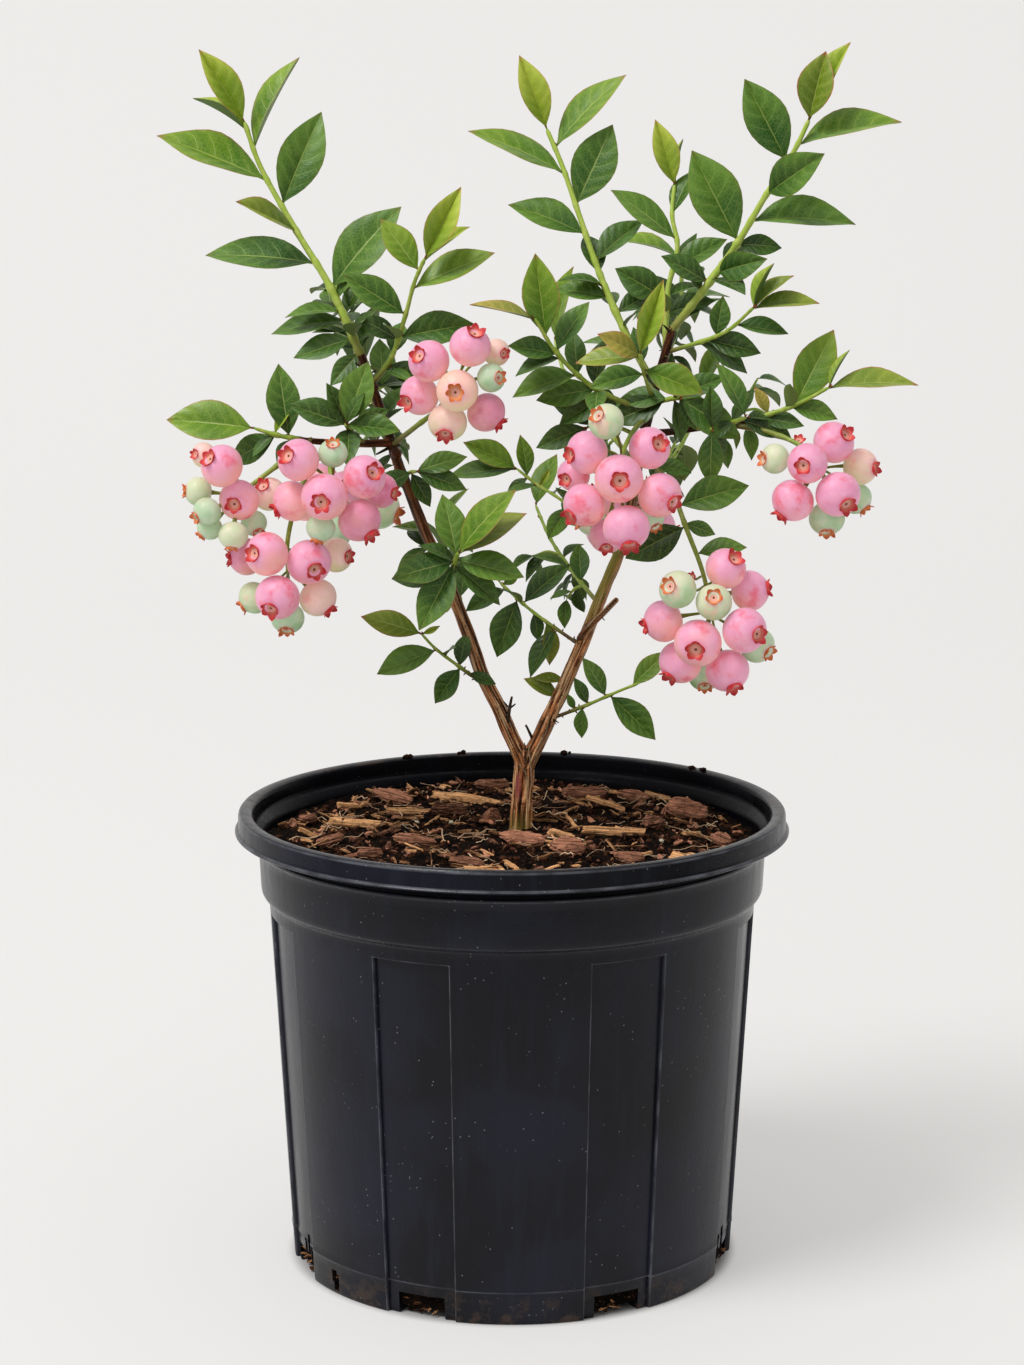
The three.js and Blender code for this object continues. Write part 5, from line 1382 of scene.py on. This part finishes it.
# Thin dead twigs and loose fibres: points, radius at both ends, tone.
DEAD_TWIGS = (
    ([(-2, -2, 222), (-1, -3, 228), (0, -3.5, 233)], 1.1, 0.5, 0.05),
    ([(-1, -3, 228), (1.4, -3.4, 230)], 0.5, 0.3, 0.05),
    ([(-1, -3, 228), (-3.4, -3.2, 231)], 0.45, 0.25, 0.05), ([(6, -1, 208), (7.5, -1.5, 213)], 1.5, 0.6, 0.0),
    ([(9, 0, 213), (6.6, -2, 219), (5.6, -2.4, 221)], 0.7, 0.5, 0.1),
    ([(6, -3, 209), (5, -3.4, 214)], 0.4, 0.2, 0.2),
    ([(8, -3.8, 196), (7.4, -4, 206), (6.6, -4, 213)], 0.35, 0.3, 0.95),
    ([(10, -3, 211), (14, -3.2, 219), (15, -3.2, 226)], 0.3, 0.2, 0.9),
    ([(9, -3.4, 208), (12, -3.2, 212), (17, -3, 221), (20, -2, 231)], 0.25, 0.2, 0.9),
    ([(3, -4.4, 205), (6, -4.8, 201), (6.6, -4.8, 195)], 0.25, 0.2, 0.8),
    ([(16, -2, 224), (19, -2.5, 222)], 0.5, 0.2, 0.05), ([(15.5, -2, 225), (18, -3, 221.4)], 0.4, 0.2, 0.05),
    ([(-14, 2, 243), (-16, 0, 241)], 0.6, 0.2, 0.05), ([(-26, 1, 283), (-23, -1, 283.5)], 0.5, 0.2, 0.1),
    ([(-45, 2, 334), (-48, 0, 337)], 0.7, 0.3, 0.05), ([(-59, 3, 364), (-62, 1, 367)], 0.8, 0.4, 0.05),
    ([(-58, 3, 362), (-54, 1, 364)], 0.6, 0.3, 0.05), ([(28, -1, 254), (25, -2, 256.5)], 0.5, 0.2, 0.05),
    ([(35, -6, 267), (37, -8, 265)], 0.4, 0.2, 0.05), ([(63, 4, 379), (60, 2, 382)], 0.7, 0.3, 0.05),
    ([(-49, 3, 333), (-54, -2, 331)], 0.8, 0.4, 0.1), ([(52, 2, 341), (49, 0, 344)], 0.7, 0.3, 0.1),
)


def build_dead_twigs():
    heap = Heap()
    for points, root, tip, tone in DEAD_TWIGS:
        path = Path(points)
        shares = np.linspace(0, 1, 7)
        shape, faces = tube(path.at(shares), root + (tip - root) * shares, 6)
        shape += 0.12 * np.column_stack([rough(shape, 1.6), rough(shape + 9, 1.6), rough(shape + 19, 1.6)])
        heap.add(shape, faces, np.column_stack([shape[:, 2], shape[:, 0], np.full(len(shape), tone)]))
    finish = wood("dead_twig", rgb(30, 22, 18), rgb(196, 164, 126), 0.15, 900.0)
    seat(piece_from("dead_twigs", heap, [finish]), "dead_wood")


# ------------------------------------------------------------------------------------------------------------
# Leaves and shoots
# ------------------------------------------------------------------------------------------------------------

LEAF_WIDTH = 0.49  # share of its length
WIDEST = 0.49  # share of a leaf's length at which it is widest
BLADE_POWERS = (0.78, 0.98)  # how the outline closes at the root and at the tip
LEAF_THICK = 0.011  # share of its length
LEAF_BEND = 0.13
PETIOLE = 0.06
SPREAD = 58  # degrees between a stem and the leaves that the rule adds
WOBBLE = 24
ROLL_GAIN = 1.18  # the leaves on show lie flatter than their solids
YOUNG_FOLD = 0.5  # how much more the youngest leaves are folded
BACK_GAIN = 0.6  # how much larger the leaves at the very back are
BACK_START, BACK_RUN = 36, 40  # they grow from this y, over this much of y
STEM_GAIN = 0.88  # the stems are a little thinner than their solids
STEM_SIDES = 9
BUD_FROM = 0.15  # share of a stem below which its leaves have no bud
FINE_FROM = 15  # the length from which a leaf has the finer mesh

# The lines of a leaf's mesh: shares of its length, and of its half width.
FINE = (
    np.array([0, 0.05, 0.1, 0.16, 0.24, 0.33, 0.43, 0.53, 0.63, 0.73, 0.82, 0.9, 0.96, 1]),
    np.array([-1, -0.74, -0.42, -0.09, 0, 0.09, 0.42, 0.74, 1]),
)
PLAIN = (
    np.array([0, 0.06, 0.13, 0.23, 0.36, 0.5, 0.63, 0.75, 0.86, 0.94, 1]),
    np.array([-1, -0.55, -0.1, 0, 0.1, 0.55, 1]),
)


def blade(along):
    """Half width of a leaf at a share of its length, as a share of its widest."""
    t = np.clip((along - PETIOLE) / (1 - PETIOLE), 0, 1)
    root, tip = BLADE_POWERS
    opening = np.sin(math.pi / 2 * np.clip(t / WIDEST, 0, 1)) ** root
    closing = np.clip(np.cos(math.pi / 2 * np.clip((t - WIDEST) / (1 - WIDEST), 0, 1)), 0, 1) ** tip
    return np.where(along >= 1, 0.0, np.maximum(opening * closing, 0.055))


def leaf_faces(rows, columns):
    """Faces of a leaf: the upper side, then the under side between the rims and a keel."""
    upper, under = [], []
    middle = columns // 2
    keel = rows * columns
    for i in range(rows - 1):
        a, b = i * columns, (i + 1) * columns
        for j in range(columns - 1):
            upper.append((a + j, a + j + 1, b + j + 1, b + j))
        under.append((a, b, keel + i + 1, keel + i))
        under.append((keel + i, keel + i + 1, b + columns - 1, a + columns - 1))
    root = [(keel, *range(0, middle + 1)), (keel, *range(middle, columns))]
    end, last = (rows - 1) * columns, keel + rows - 1
    tip = [
        (*range(end + middle, end - 1, -1), last),
        (*range(end + columns - 1, end + middle - 1, -1), last),
    ]
    return upper, under + root + tip


LEAF_FACES = {len(rows): leaf_faces(len(rows), len(columns)) for rows, columns in (FINE, PLAIN)}


def add_leaf(heap, base, along, face, length, roll, detail=PLAIN, droop=1.0, folded=0.0):
    """A leaf from base, its upper side towards face. Its halves fold up from the midrib, its tip falls."""
    rows, columns = detail
    up = square_to(face, along)
    right = np.cross(along, up)
    half = LEAF_WIDTH * (1 - 0.55 * folded) * length * (0.9 + 0.2 * roll()) * blade(rows) / 2
    half[-1] = 0.12
    fold = 0.2 + 0.34 * roll() + folded
    bend = LEAF_BEND * droop * (0.4 + 1.1 * roll())
    sway = 0.05 * (roll() - 0.5)
    tone = roll()
    wave, wave_turn = 0.012 * length * roll(), 6 * roll()
    t, a = rows[:, None], columns[None, :]
    side = half[:, None] * a + sway * length * t * t
    fall = bend * length * t * t
    lift = half[:, None] * fold * (1.7 * np.abs(a) - 0.8 * a * a)
    lift = lift + wave * np.sin(9 * t + wave_turn + 2.2 * a) * np.abs(a) * np.sin(math.pi * t)
    top = (base + along * (length * t)[..., None] + right * side[..., None] + up * (lift - fall)[..., None])
    thick = LEAF_THICK * length * np.where(rows < 1, 1.0, 0.5) + 0.25 * (1 - rows)
    under = (base + np.outer(rows * length, along) + np.outer(sway * length * rows**2, right)
             - np.outer(bend * length * rows**2 + thick, up))
    points = np.concatenate([top.reshape(-1, 3), under])
    places_along = np.concatenate([np.repeat(rows, len(columns)), rows])
    places_across = np.concatenate([np.tile(columns, len(rows)), np.zeros(len(rows))])
    marks = np.column_stack([places_along, places_across, np.full(len(points), tone)])
    upper_faces, under_faces = LEAF_FACES[len(rows)]
    heap.add(points, upper_faces + under_faces, marks, [0] * len(upper_faces) + [1] * len(under_faces))


def aim_of(aim, lean):
    """A direction: degrees from +X towards +Z, and how far it leans to the front."""
    a, b = math.radians(aim), math.radians(lean)
    return np.array([math.cos(a) * math.cos(b), -math.sin(b), math.sin(a) * math.cos(b)])


def aimed_leaf(heaps, path, leaf, roll):
    """A leaf that is given by itself. Its place and direction come back."""
    place, aim, length, lean, tip_roll, tint = leaf
    along = aim_of(aim, lean)
    tip_roll = ROLL_GAIN * tip_roll
    face = turned(square_to(FRONT, along), along, tip_roll if along[0] < 0 else -tip_roll)
    detail = FINE if length > FINE_FROM else PLAIN
    folded = YOUNG_FOLD if tint == "y" else 0
    add_leaf(heaps[tint], path.at(place), along, face, length, roll, detail, 1.0, folded)
    return place, along


def in_an_opening(point):
    """Whether a place behind y = 0 would be seen in one of the gaps in the crown."""
    share = EYE[1] / (EYE[1] - point[1])
    across, up = EYE[0] + (point[0] - EYE[0]) * share, EYE[2] + (point[2] - EYE[2]) * share
    return point[1] > 20 and any(a < across < b and low < up < high for a, b, low, high in OPENINGS)


def ruled_leaf(heap, path, place, turn, length, wobble, roll):
    """A leaf that the rule adds, turned round the stem. Its place and direction come back."""
    axis = path.heading(place)
    out = turned(square_to(UP, axis), axis, turn)
    spread = math.radians(SPREAD + wobble)
    along = axis * math.cos(spread) + out * math.sin(spread)
    start = path.at(place)
    if in_an_opening(start + along * length / 2):
        return place, along
    length *= 1 + BACK_GAIN * min(max(start[1] - BACK_START, 0) / BACK_RUN, 1)
    add_leaf(heap, start, along, 0.3 * axis + 0.9 * UP + 0.5 * FRONT, length, roll, PLAIN, 2.0)
    return place, along


def add_stem(twigs, path, root, tip, nodes, woody, tone):
    """A young stem, a little thicker at its nodes."""
    shares = np.linspace(0, 1, max(8, int(path.length / 1.6)))
    radii = STEM_GAIN * (root + (tip - root) * shares)
    for place in nodes:
        radii = radii + 0.22 * radii * np.exp(-(((shares - place) * path.length / 1.3) ** 2))
    radii[-1] *= 0.5
    points, faces = tube(path.at(shares), radii, STEM_SIDES)
    rings = np.concatenate([np.repeat(shares, STEM_SIDES), [0, 1]])
    wood_share = np.clip(woody - 3.4 * rings, 0.05, 1)
    twigs.add(points, faces, np.column_stack([wood_share, rings, np.full(len(points), tone)]))


def add_bud(buds, where, along, size):
    """A pointed bud scale in a leaf's axil."""
    middles = [where + along * size * k for k in (-0.3, 0.2, 0.7, 1.2, 1.6)]
    points, faces = tube(middles, size * np.array([0.25, 0.5, 0.45, 0.22, 0.04]), 5)
    buds.add(points, faces, (size, 0, 0.4))


def side_twigs(twigs, heaps, path, seed, reach):
    """Finer twigs off a stem, each with a few small leaves, by the same golden angle."""
    roll = dice(seed)
    for k in range(4):
        place = 0.25 + 0.17 * k
        axis = path.heading(place)
        out = turned(square_to(UP, axis), axis, 360 * roll() + GOLDEN_ANGLE * k)
        start = path.at(place)
        end = start + (0.55 * axis + 0.85 * out) * reach
        twig = Path([start, (start + end) / 2 + UP * 1.5, end])
        add_stem(twigs, twig, 0.75, 0.5, (0.5, 1), 0.2, roll())
        turn = 360 * roll()
        for j in range(4):
            heap, length = heaps["dm"[j % 2]], 9 + 6 * roll()
            ruled_leaf(heap, twig, 0.4 + 0.2 * j, turn + GOLDEN_ANGLE * j, length, 0, roll)


def add_scars(buds, path, root):
    """Bud scales close together round the foot of an old stem."""
    for k in range(7):
        place = 0.1 + 0.045 * k
        axis = path.heading(place)
        out = turned(square_to(UP, axis), axis, GOLDEN_ANGLE * k)
        add_bud(buds, path.at(place) + out * root, 0.3 * axis + out, 0.7)


def grow_shoot(name, heaps, twigs, buds):
    """The leaves given for a shoot, those that the rule adds, its stem and its buds."""
    root, tip, seed, (count, first, last, small, large), stem, leaves = SHOOTS[name]
    path, roll, rule = Path(stem), dice(seed + 200), dice(seed)
    leader, knobbly, hidden = "leader" in name, name in KNOBBLY, name in SHOOTS_RULED_ONLY
    grown = [aimed_leaf(heaps, path, leaf, roll) for leaf in leaves]
    start = 360 * rule()
    for k in range(count):
        place = first + (last - first) * (k + 1) / count
        length = small + (large - small) * rule()
        wobble = WOBBLE * (rule() - 0.5)
        tint = "f" if hidden and place > 0.9 else "m" if rule() > 0.55 else "d"
        grown.append(ruled_leaf(heaps[tint], path, place, start + GOLDEN_ANGLE * k, length, wobble, roll))
    if hidden:
        side_twigs(twigs, heaps, path, seed + 300, 11)
    if knobbly:
        add_scars(buds, path, root)
    woody = 0.75 if leader else 1.6 if knobbly else 1.0
    add_stem(twigs, path, root, tip, [place for place, _ in grown], woody, 0.9 if leader else 0.4)
    for place, along in grown:
        if place > BUD_FROM:
            side = path.at(place) + along * (root + (tip - root) * place)
            add_bud(buds, side, path.heading(place), 0.9)


def build_shoots():
    heaps = {tint: Heap() for tint in LEAF_TINTS}
    twigs, buds = Heap(), Heap()
    for name in SHOOTS:
        grow_shoot(name, heaps, twigs, buds)
    bare = {name: BUNCHES[name][1] for name in BUNCH_LEAVES} | {name: LIMBS[name][0] for name in LIMB_LEAVES}
    for name, leaves in (BUNCH_LEAVES | LIMB_LEAVES).items():
        path, roll = Path(bare[name]), dice(len(name))
        for leaf in leaves:
            aimed_leaf(heaps, path, leaf, roll)
    under = leaf_under()
    nodes = list(SHOOTS)
    for tint, (name, *colours) in LEAF_TINTS.items():
        made = piece_from(name, heaps[tint], [leaf_top(name, *colours), under], 60)
        seat(made, "leaves", *nodes)
        nodes = []
    seat(piece_from("green_stems", twigs, [green_shoot()], 60), "leaves")
    scales = wood("bud_scales", rgb(110, 58, 34), rgb(150, 96, 60), 0.3)
    seat(piece_from("buds", buds, [scales], 60), "leaves")


# ------------------------------------------------------------------------------------------------------------
# Berries
# ------------------------------------------------------------------------------------------------------------

FORKS = (0.55, 0.7, 0.85, 1)  # shares of a bunch's stem at which stalks leave it
FADED = ((73, -34, 285, 5, 150), (112, -16, 335, 5.5, 80))  # crowns without a berry: place, size, aim
CROWN_SIDES = 60
GREEN_CROWN = 1.1  # the crown of an unripe berry is larger for its size

# Rings from the skin over the lobes into the cup: radius and height between the lobes, how much more at their
# tips, and the finish of the faces up to the next ring (0 lobes, 1 wall of the cup, 2 its floor, 3 its pit).
CROWN_RINGS = (
    (0.33, 0.77, 0.00, 0.00, 0), (0.34, 0.86, 0.01, 0.00, 0), (0.345, 0.89, 0.05, 0.06, 0),
    (0.345, 0.91, 0.12, 0.14, 0), (0.335, 0.92, 0.12, 0.175, 0), (0.315, 0.91, 0.075, 0.12, 0),
    (0.29, 0.87, 0.02, 0.03, 1), (0.25, 0.825, 0.0, 0.0, 1), (0.22, 0.805, 0.0, 0.0, 2),
    (0.13, 0.80, 0.0, 0.0, 2), (0.06, 0.798, 0.0, 0.0, 3), (0.035, 0.775, 0.0, 0.0, 3),
)
LOBE_RINGS = range(2, 6)
STEM_STALK_SIDES = 8


def berry_template():
    """A round berry of radius 1, a little flat, with a dimple at each end. Its crown looks along +Z."""
    bpy.ops.mesh.primitive_uv_sphere_add(segments=30, ring_count=20, radius=1)
    ball = bpy.context.object
    points = places(ball) * MM
    faces = [tuple(face.vertices) for face in ball.data.polygons]
    bpy.data.objects.remove(ball)
    tilt = math.pi * (np.arccos(np.clip(points[:, 2], -1, 1)) / math.pi) ** 1.25
    turn = np.arctan2(points[:, 1], points[:, 0])
    collar = np.exp(-(((tilt - 0.42) / 0.12) ** 2))
    height = 0.93 * np.cos(tilt) - 0.24 * np.exp(-((tilt / 0.26) ** 2)) + 0.035 * collar
    height += 0.05 * np.exp(-(((math.pi - tilt) / 0.3) ** 2))
    return np.column_stack([np.sin(tilt) * np.cos(turn), np.sin(tilt) * np.sin(turn), height]), faces


BERRY_POINTS, BERRY_FACES = berry_template()


def crown(roll):
    """Points and marks of a crown of pointed lobes round a shallow cup, for a berry of radius 1."""
    lobes = 5 if roll() < 0.7 else 6
    turns = np.arange(CROWN_SIDES) * lobes / CROWN_SIDES
    reach = np.array([0.7 + 0.6 * roll() for _ in range(lobes)])[np.floor(turns + 0.5).astype(int) % lobes]
    point = 2 * np.abs((turns + 0.5) % 1 - 0.5)
    lobe = (0.85 * (1 - point**2) + 0.15 * np.maximum(0, 1 - 4 * point)) * reach
    angles = np.linspace(0, 2 * math.pi, CROWN_SIDES, endpoint=False) + 0.1 * (roll() - 0.5)
    flare = 0.8 + 0.5 * roll()
    rings, marks = [], []
    for k, (radius, height, wider, taller, _) in enumerate(CROWN_RINGS):
        r = radius + wider * lobe * flare
        rings.append(np.column_stack([r * np.cos(angles), r * np.sin(angles), height + taller * lobe]))
        marks.append(np.column_stack([lobe * (k in LOBE_RINGS), np.full(CROWN_SIDES, k), lobe * 0]))
    points = np.concatenate([*rings, [[0, 0, 0.74], [0, 0, 0.765]]])
    return points, np.concatenate([*marks, np.zeros((2, 3))])


CROWN_FACES = tube_faces(len(CROWN_RINGS), CROWN_SIDES)
CROWN_SLOTS = [slot for *_, slot in CROWN_RINGS[:-1] for _ in range(CROWN_SIDES)] + [0, 3] * CROWN_SIDES


def turn_to(facing, spin):
    """A matrix whose Z column is facing."""
    side = turned(square_to(FRONT if abs(facing[1]) < 0.8 else UP, facing), facing, spin)
    return np.column_stack([side, np.cross(facing, side), facing])


# Lobes and the inside of the cup, deep and light.
CROWN_TINTS = {
    "red": (rgb(186, 26, 40), rgb(230, 96, 92), rgb(200, 76, 70), rgb(230, 134, 116)),
    "orange": (rgb(206, 94, 44), rgb(234, 152, 100), rgb(200, 110, 60), rgb(228, 164, 112)),
}


def add_berry(skins, crowns, middle, facing, diameter, tint, roll):
    radius = diameter / 2
    spin = turn_to(facing, 360 * roll())
    points = BERRY_POINTS @ spin.T
    swell = 1 + 0.025 * (roll() - 0.5)
    tone = roll() - 0.5
    # How far up the skin faces, for sun blush above and painted floor bounce below.
    upward = points[:, 2] - 0.3 * points[:, 1]
    marks = np.column_stack([BERRY_POINTS[:, 2], upward, np.full(len(points), tone)])
    skins[tint].add(points * radius * swell + middle, BERRY_FACES, marks)
    shape, marks = crown(roll)
    tilt = 6 * (roll() - 0.5)
    lean = turn_to(turned(facing, spin[:, 0], tilt), 360 * roll())
    unripe = tint in "gc"
    size, sunk = (radius * GREEN_CROWN, radius * 0.1) if unripe else (radius, 0)
    kind = "orange" if unripe or tint == "h" else "red"
    crowns[kind].add((shape @ lean.T) * size + middle - facing * sunk, CROWN_FACES, marks, CROWN_SLOTS)


def touches(middle, diameter, laid):
    return any(np.linalg.norm(m - middle) < (d + diameter) / 2 for m, _, d, _ in laid)


def packed(front, berries):
    """Sets the berries one behind another, each just far enough back to touch those before it."""
    laid = []
    for x, z, diameter, aim, turn, tint in berries:
        middle = np.array([x, front, z], float)
        while touches(middle, diameter, laid):
            middle[1] += 0.5
        a, b = math.radians(aim), math.radians(turn)
        facing = np.array([math.sin(b) * math.cos(a), -math.cos(b), math.sin(b) * math.sin(a)])
        laid.append((middle, facing, diameter, tint))
    return laid


def dealt(seed, count, heart, tints):
    """Deals berries out by the golden angle round the heart of a bunch, looking away from it."""
    roll = dice(seed)
    laid = []
    for k in range(count):
        diameter = 13 + 4.5 * roll()
        height = 0.8 * (1 - (2 * k + 1) / count)
        angle = math.radians(GOLDEN_ANGLE * k + 20 * roll())
        level = math.sqrt(1 - height * height)
        facing = np.array([level * math.cos(angle), level * math.sin(angle), height])
        middle = heart + facing * 11
        while touches(middle, diameter, laid):
            middle = middle + facing * 0.5
        laid.append((middle, facing, diameter, tints[k]))
    return laid


def add_bunch_stem(stalks, path):
    shares = np.linspace(0, 1, int(path.length / 1.6))
    radii = 1.15 - 0.3 * shares + 0.25 * np.exp(-(((shares - 0.5) * path.length / 1.5) ** 2))
    points, faces = tube(path.at(shares), radii, STEM_STALK_SIDES)
    rings = np.concatenate([np.repeat(shares, STEM_STALK_SIDES), [0, 1]])
    marks = np.column_stack([np.clip(0.9 - rings, 0.2, 1), rings, np.full(len(rings), 0.3)])
    stalks.add(points, faces, marks)


def add_stalk(stalks, forks, middle, facing, diameter):
    """A stalk from the nearest fork to the back of a berry."""
    fork = min(forks, key=lambda p: np.linalg.norm(p - middle))
    back = middle - facing * diameter * 0.44
    knee = (fork + back) / 2 - facing * 2
    steps = np.linspace(0, 1, 8)
    points, faces = tube(Path([fork, knee, back]).at(steps), 0.55 + 0.5 * steps**4, 6)
    marks = np.column_stack([np.full(len(points), 0.35), points[:, 0], np.full(len(points), 0.2)])
    stalks.add(points, faces, marks)


def add_faded_crown(stalks, crowns, where, size, aim):
    """A crown that a berry has dropped from, on its stalk."""
    facing = unit(aim_of(aim, 40))
    shape, marks = crown(dice(where[2]))
    shape = shape @ turn_to(facing, 20).T * size + where
    crowns["red"].add(shape, CROWN_FACES, marks, CROWN_SLOTS)
    back = shape[-2]
    points, faces = tube([back - facing * 5 + UP * 2, back - facing * 2, back], 0.5, 6)
    stalks.add(points, faces, (0.4, 0, 0.3))


def seat_crowns(crowns):
    floor = crown_finish("crown_floor", rgb(220, 142, 126), rgb(240, 180, 162))
    pit = crown_finish("crown_pit", rgb(92, 50, 36), rgb(128, 72, 52))
    for kind, (deep, light, cup_deep, cup_light) in CROWN_TINTS.items():
        lobes = crown_finish(f"crown_{kind}", deep, light)
        cup = crown_finish(f"cup_{kind}", cup_deep, cup_light)
        seat(piece_from(f"crowns_{kind}", crowns[kind], [lobes, cup, floor, pit], 45), "berries")


def build_berries():
    skins = {tint: Heap() for tint in BERRY_TINTS}
    crowns = {kind: Heap() for kind in CROWN_TINTS}
    stalks = Heap()
    bunches = [(stem, packed(front, berries)) for front, stem, berries in BUNCHES.values()]
    bunches += [(stem, dealt(seed, count, np.array(stem[-1], float), tints))
                for seed, count, stem, tints in BACK_BUNCHES.values()]
    for number, (stem, berries) in enumerate(bunches):
        roll, path = dice(number + 401), Path(stem)
        add_bunch_stem(stalks, path)
        forks = path.at(np.array(FORKS))
        for middle, facing, diameter, tint in berries:
            add_berry(skins, crowns, middle, facing, diameter, tint, roll)
            add_stalk(stalks, forks, middle, facing, diameter)
    for x, y, z, size, aim in FADED:
        add_faded_crown(stalks, crowns, (x, y, z), size, aim)
    nodes = [*BUNCHES, *BACK_BUNCHES]
    for tint, (name, *colours) in BERRY_TINTS.items():
        seat(piece_from(name, skins[tint], [berry_skin(name, *colours)], 80), "berries", *nodes)
        nodes = []
    seat_crowns(crowns)
    seat(piece_from("berry_stalks", stalks, [green_shoot()], 60), "leaves")


# ------------------------------------------------------------------------------------------------------------
# Stage, light and camera
# ------------------------------------------------------------------------------------------------------------

CAMERA_PLACE = (0, -1.2775, 0.4759)
CAMERA_PITCH = 10.542  # degrees below the horizon
CAMERA_LENS = 84.82
STAGE_SIZE = 20
STAGE_BACK = 4
STAGE_RISE = 4
STAGE_BEND = 2.4


def paper():
    """Pale paper, painted dark in a strip in front so that the front of the pot shows a dark reflection, and
    faintly aglow except round the pot's foot, where the missing glow is a painted contact shadow.
    """
    f = Finish("paper", Roughness=0.9, Specular_IOR_Level=0.1, Emission_Color=(1, 0.99, 0.97, 1))
    f.material.cycles.emission_sampling = "NONE"
    _, far, _ = f.node("SeparateXYZ", {"Vector": f.place()})
    # Painted reflection: a dark strip of floor in front, which only the pot's front mirrors.
    dark = f.times(f.rise(far, -1.0, -0.3, 1, 0), f.rise(far, -2.4, -1.6))
    f.colour(f.blend(dark, rgb(174, 173, 172), rgb(60, 60, 60)))
    reach = f.node("VectorMath", {0: f.place()}, operation="LENGTH")["Value"]
    glow = f.sum(f.times(dark, -0.24), f.rise(far, 0.2, 3.4, 0.37, 0.42))
    # Painted shadow: no glow under and right round the pot's foot, so the paper darkens there.
    glow = f.times(glow, f.rise(reach, (BASE_RADIUS - 3) * MM, (BASE_RADIUS + 4) * MM))
    f.tree.links.new(glow, f.shader.inputs["Emission Strength"])
    return f.material


def edit_edges(made, chosen, operator, **settings):
    """Runs an edit on the edges whose two ends both pass a test."""
    only(made)
    bpy.ops.object.mode_set(mode="EDIT")
    bpy.ops.mesh.select_mode(type="EDGE")
    bpy.ops.mesh.select_all(action="DESELECT")
    bpy.ops.object.mode_set(mode="OBJECT")
    for edge in made.data.edges:
        edge.select = all(chosen(made.data.vertices[i].co) for i in edge.vertices)
    bpy.ops.object.mode_set(mode="EDIT")
    operator(**settings)
    bpy.ops.object.mode_set(mode="OBJECT")


def build_stage():
    bpy.ops.mesh.primitive_plane_add(size=STAGE_SIZE, location=(0, STAGE_BACK - STAGE_SIZE / 2, 0))
    floor = bpy.context.object
    floor.name = "backdrop"
    only(floor)
    bpy.ops.object.transform_apply(location=True, rotation=False, scale=False)
    edit_edges(floor, lambda p: p.y > STAGE_BACK - 0.1, bpy.ops.mesh.extrude_region_move,
               TRANSFORM_OT_translate={"value": (0, 0, STAGE_RISE)})
    edit_edges(floor, lambda p: p.y > STAGE_BACK - 0.1 and p.z < 0.1, bpy.ops.mesh.bevel,
               offset=STAGE_BEND, segments=24)
    smooth(floor, 60)
    floor.data.materials.append(paper())


def add_light(name, where, aim, size, power):
    lamp = bpy.data.lights.new(name, "AREA")
    lamp.shape, lamp.size, lamp.energy = "DISK", size, power
    holder = linked(name, lamp)
    holder.location = where
    holder.rotation_euler = (Vector(aim) - Vector(where)).to_track_quat("-Z", "Y").to_euler()


def studio_world():
    """Bright above, and a little to the left and behind the camera."""
    world = bpy.data.worlds.new("studio")
    world.use_nodes = True
    nodes, links = world.node_tree.nodes, world.node_tree.links

    def ramp(source, start, end, low, high):
        made = nodes.new("ShaderNodeMapRange")
        made.interpolation_type = "SMOOTHSTEP"
        for key, value in (("From Min", start), ("From Max", end), ("To Min", low), ("To Max", high)):
            made.inputs[key].default_value = value
        links.new(source, made.inputs["Value"])
        return made.outputs["Result"]

    def add(a, b):
        made = nodes.new("ShaderNodeMath")
        links.new(a, made.inputs[0])
        links.new(b, made.inputs[1])
        return made.outputs[0]

    split = nodes.new("ShaderNodeSeparateXYZ")
    links.new(nodes.new("ShaderNodeTexCoord").outputs["Generated"], split.inputs[0])
    x, y, z = split.outputs
    above_and_left = add(ramp(z, 0.0, 0.75, 0.1, 0.6), ramp(x, -1.0, 0.2, 0.15, 0))
    strength = add(above_and_left, ramp(y, -1.0, 0.1, 0.25, 0))
    background = nodes["Background"]
    background.inputs["Color"].default_value = (1.0, 0.995, 0.985, 1)
    links.new(strength, background.inputs["Strength"])
    return world


def build_light_and_camera():
    scene = bpy.context.scene
    scene.view_settings.view_transform = "Standard"
    scene.world = studio_world()
    add_light("key", (-2.3, -1.9, 4.6), (0, 0, 0.2), 2.1, 190)
    camera = bpy.data.cameras.new("camera")
    camera.lens = CAMERA_LENS
    camera.clip_start, camera.clip_end = 0.05, 50
    holder = linked("camera", camera)
    holder.location = CAMERA_PLACE
    holder.rotation_euler = (math.radians(90 - CAMERA_PITCH), 0, 0)
    scene.camera = holder


build_stage()
build_light_and_camera()
build_pot()
build_mound()
build_litter()
build_wood()
build_dead_twigs()
build_shoots()
build_berries()
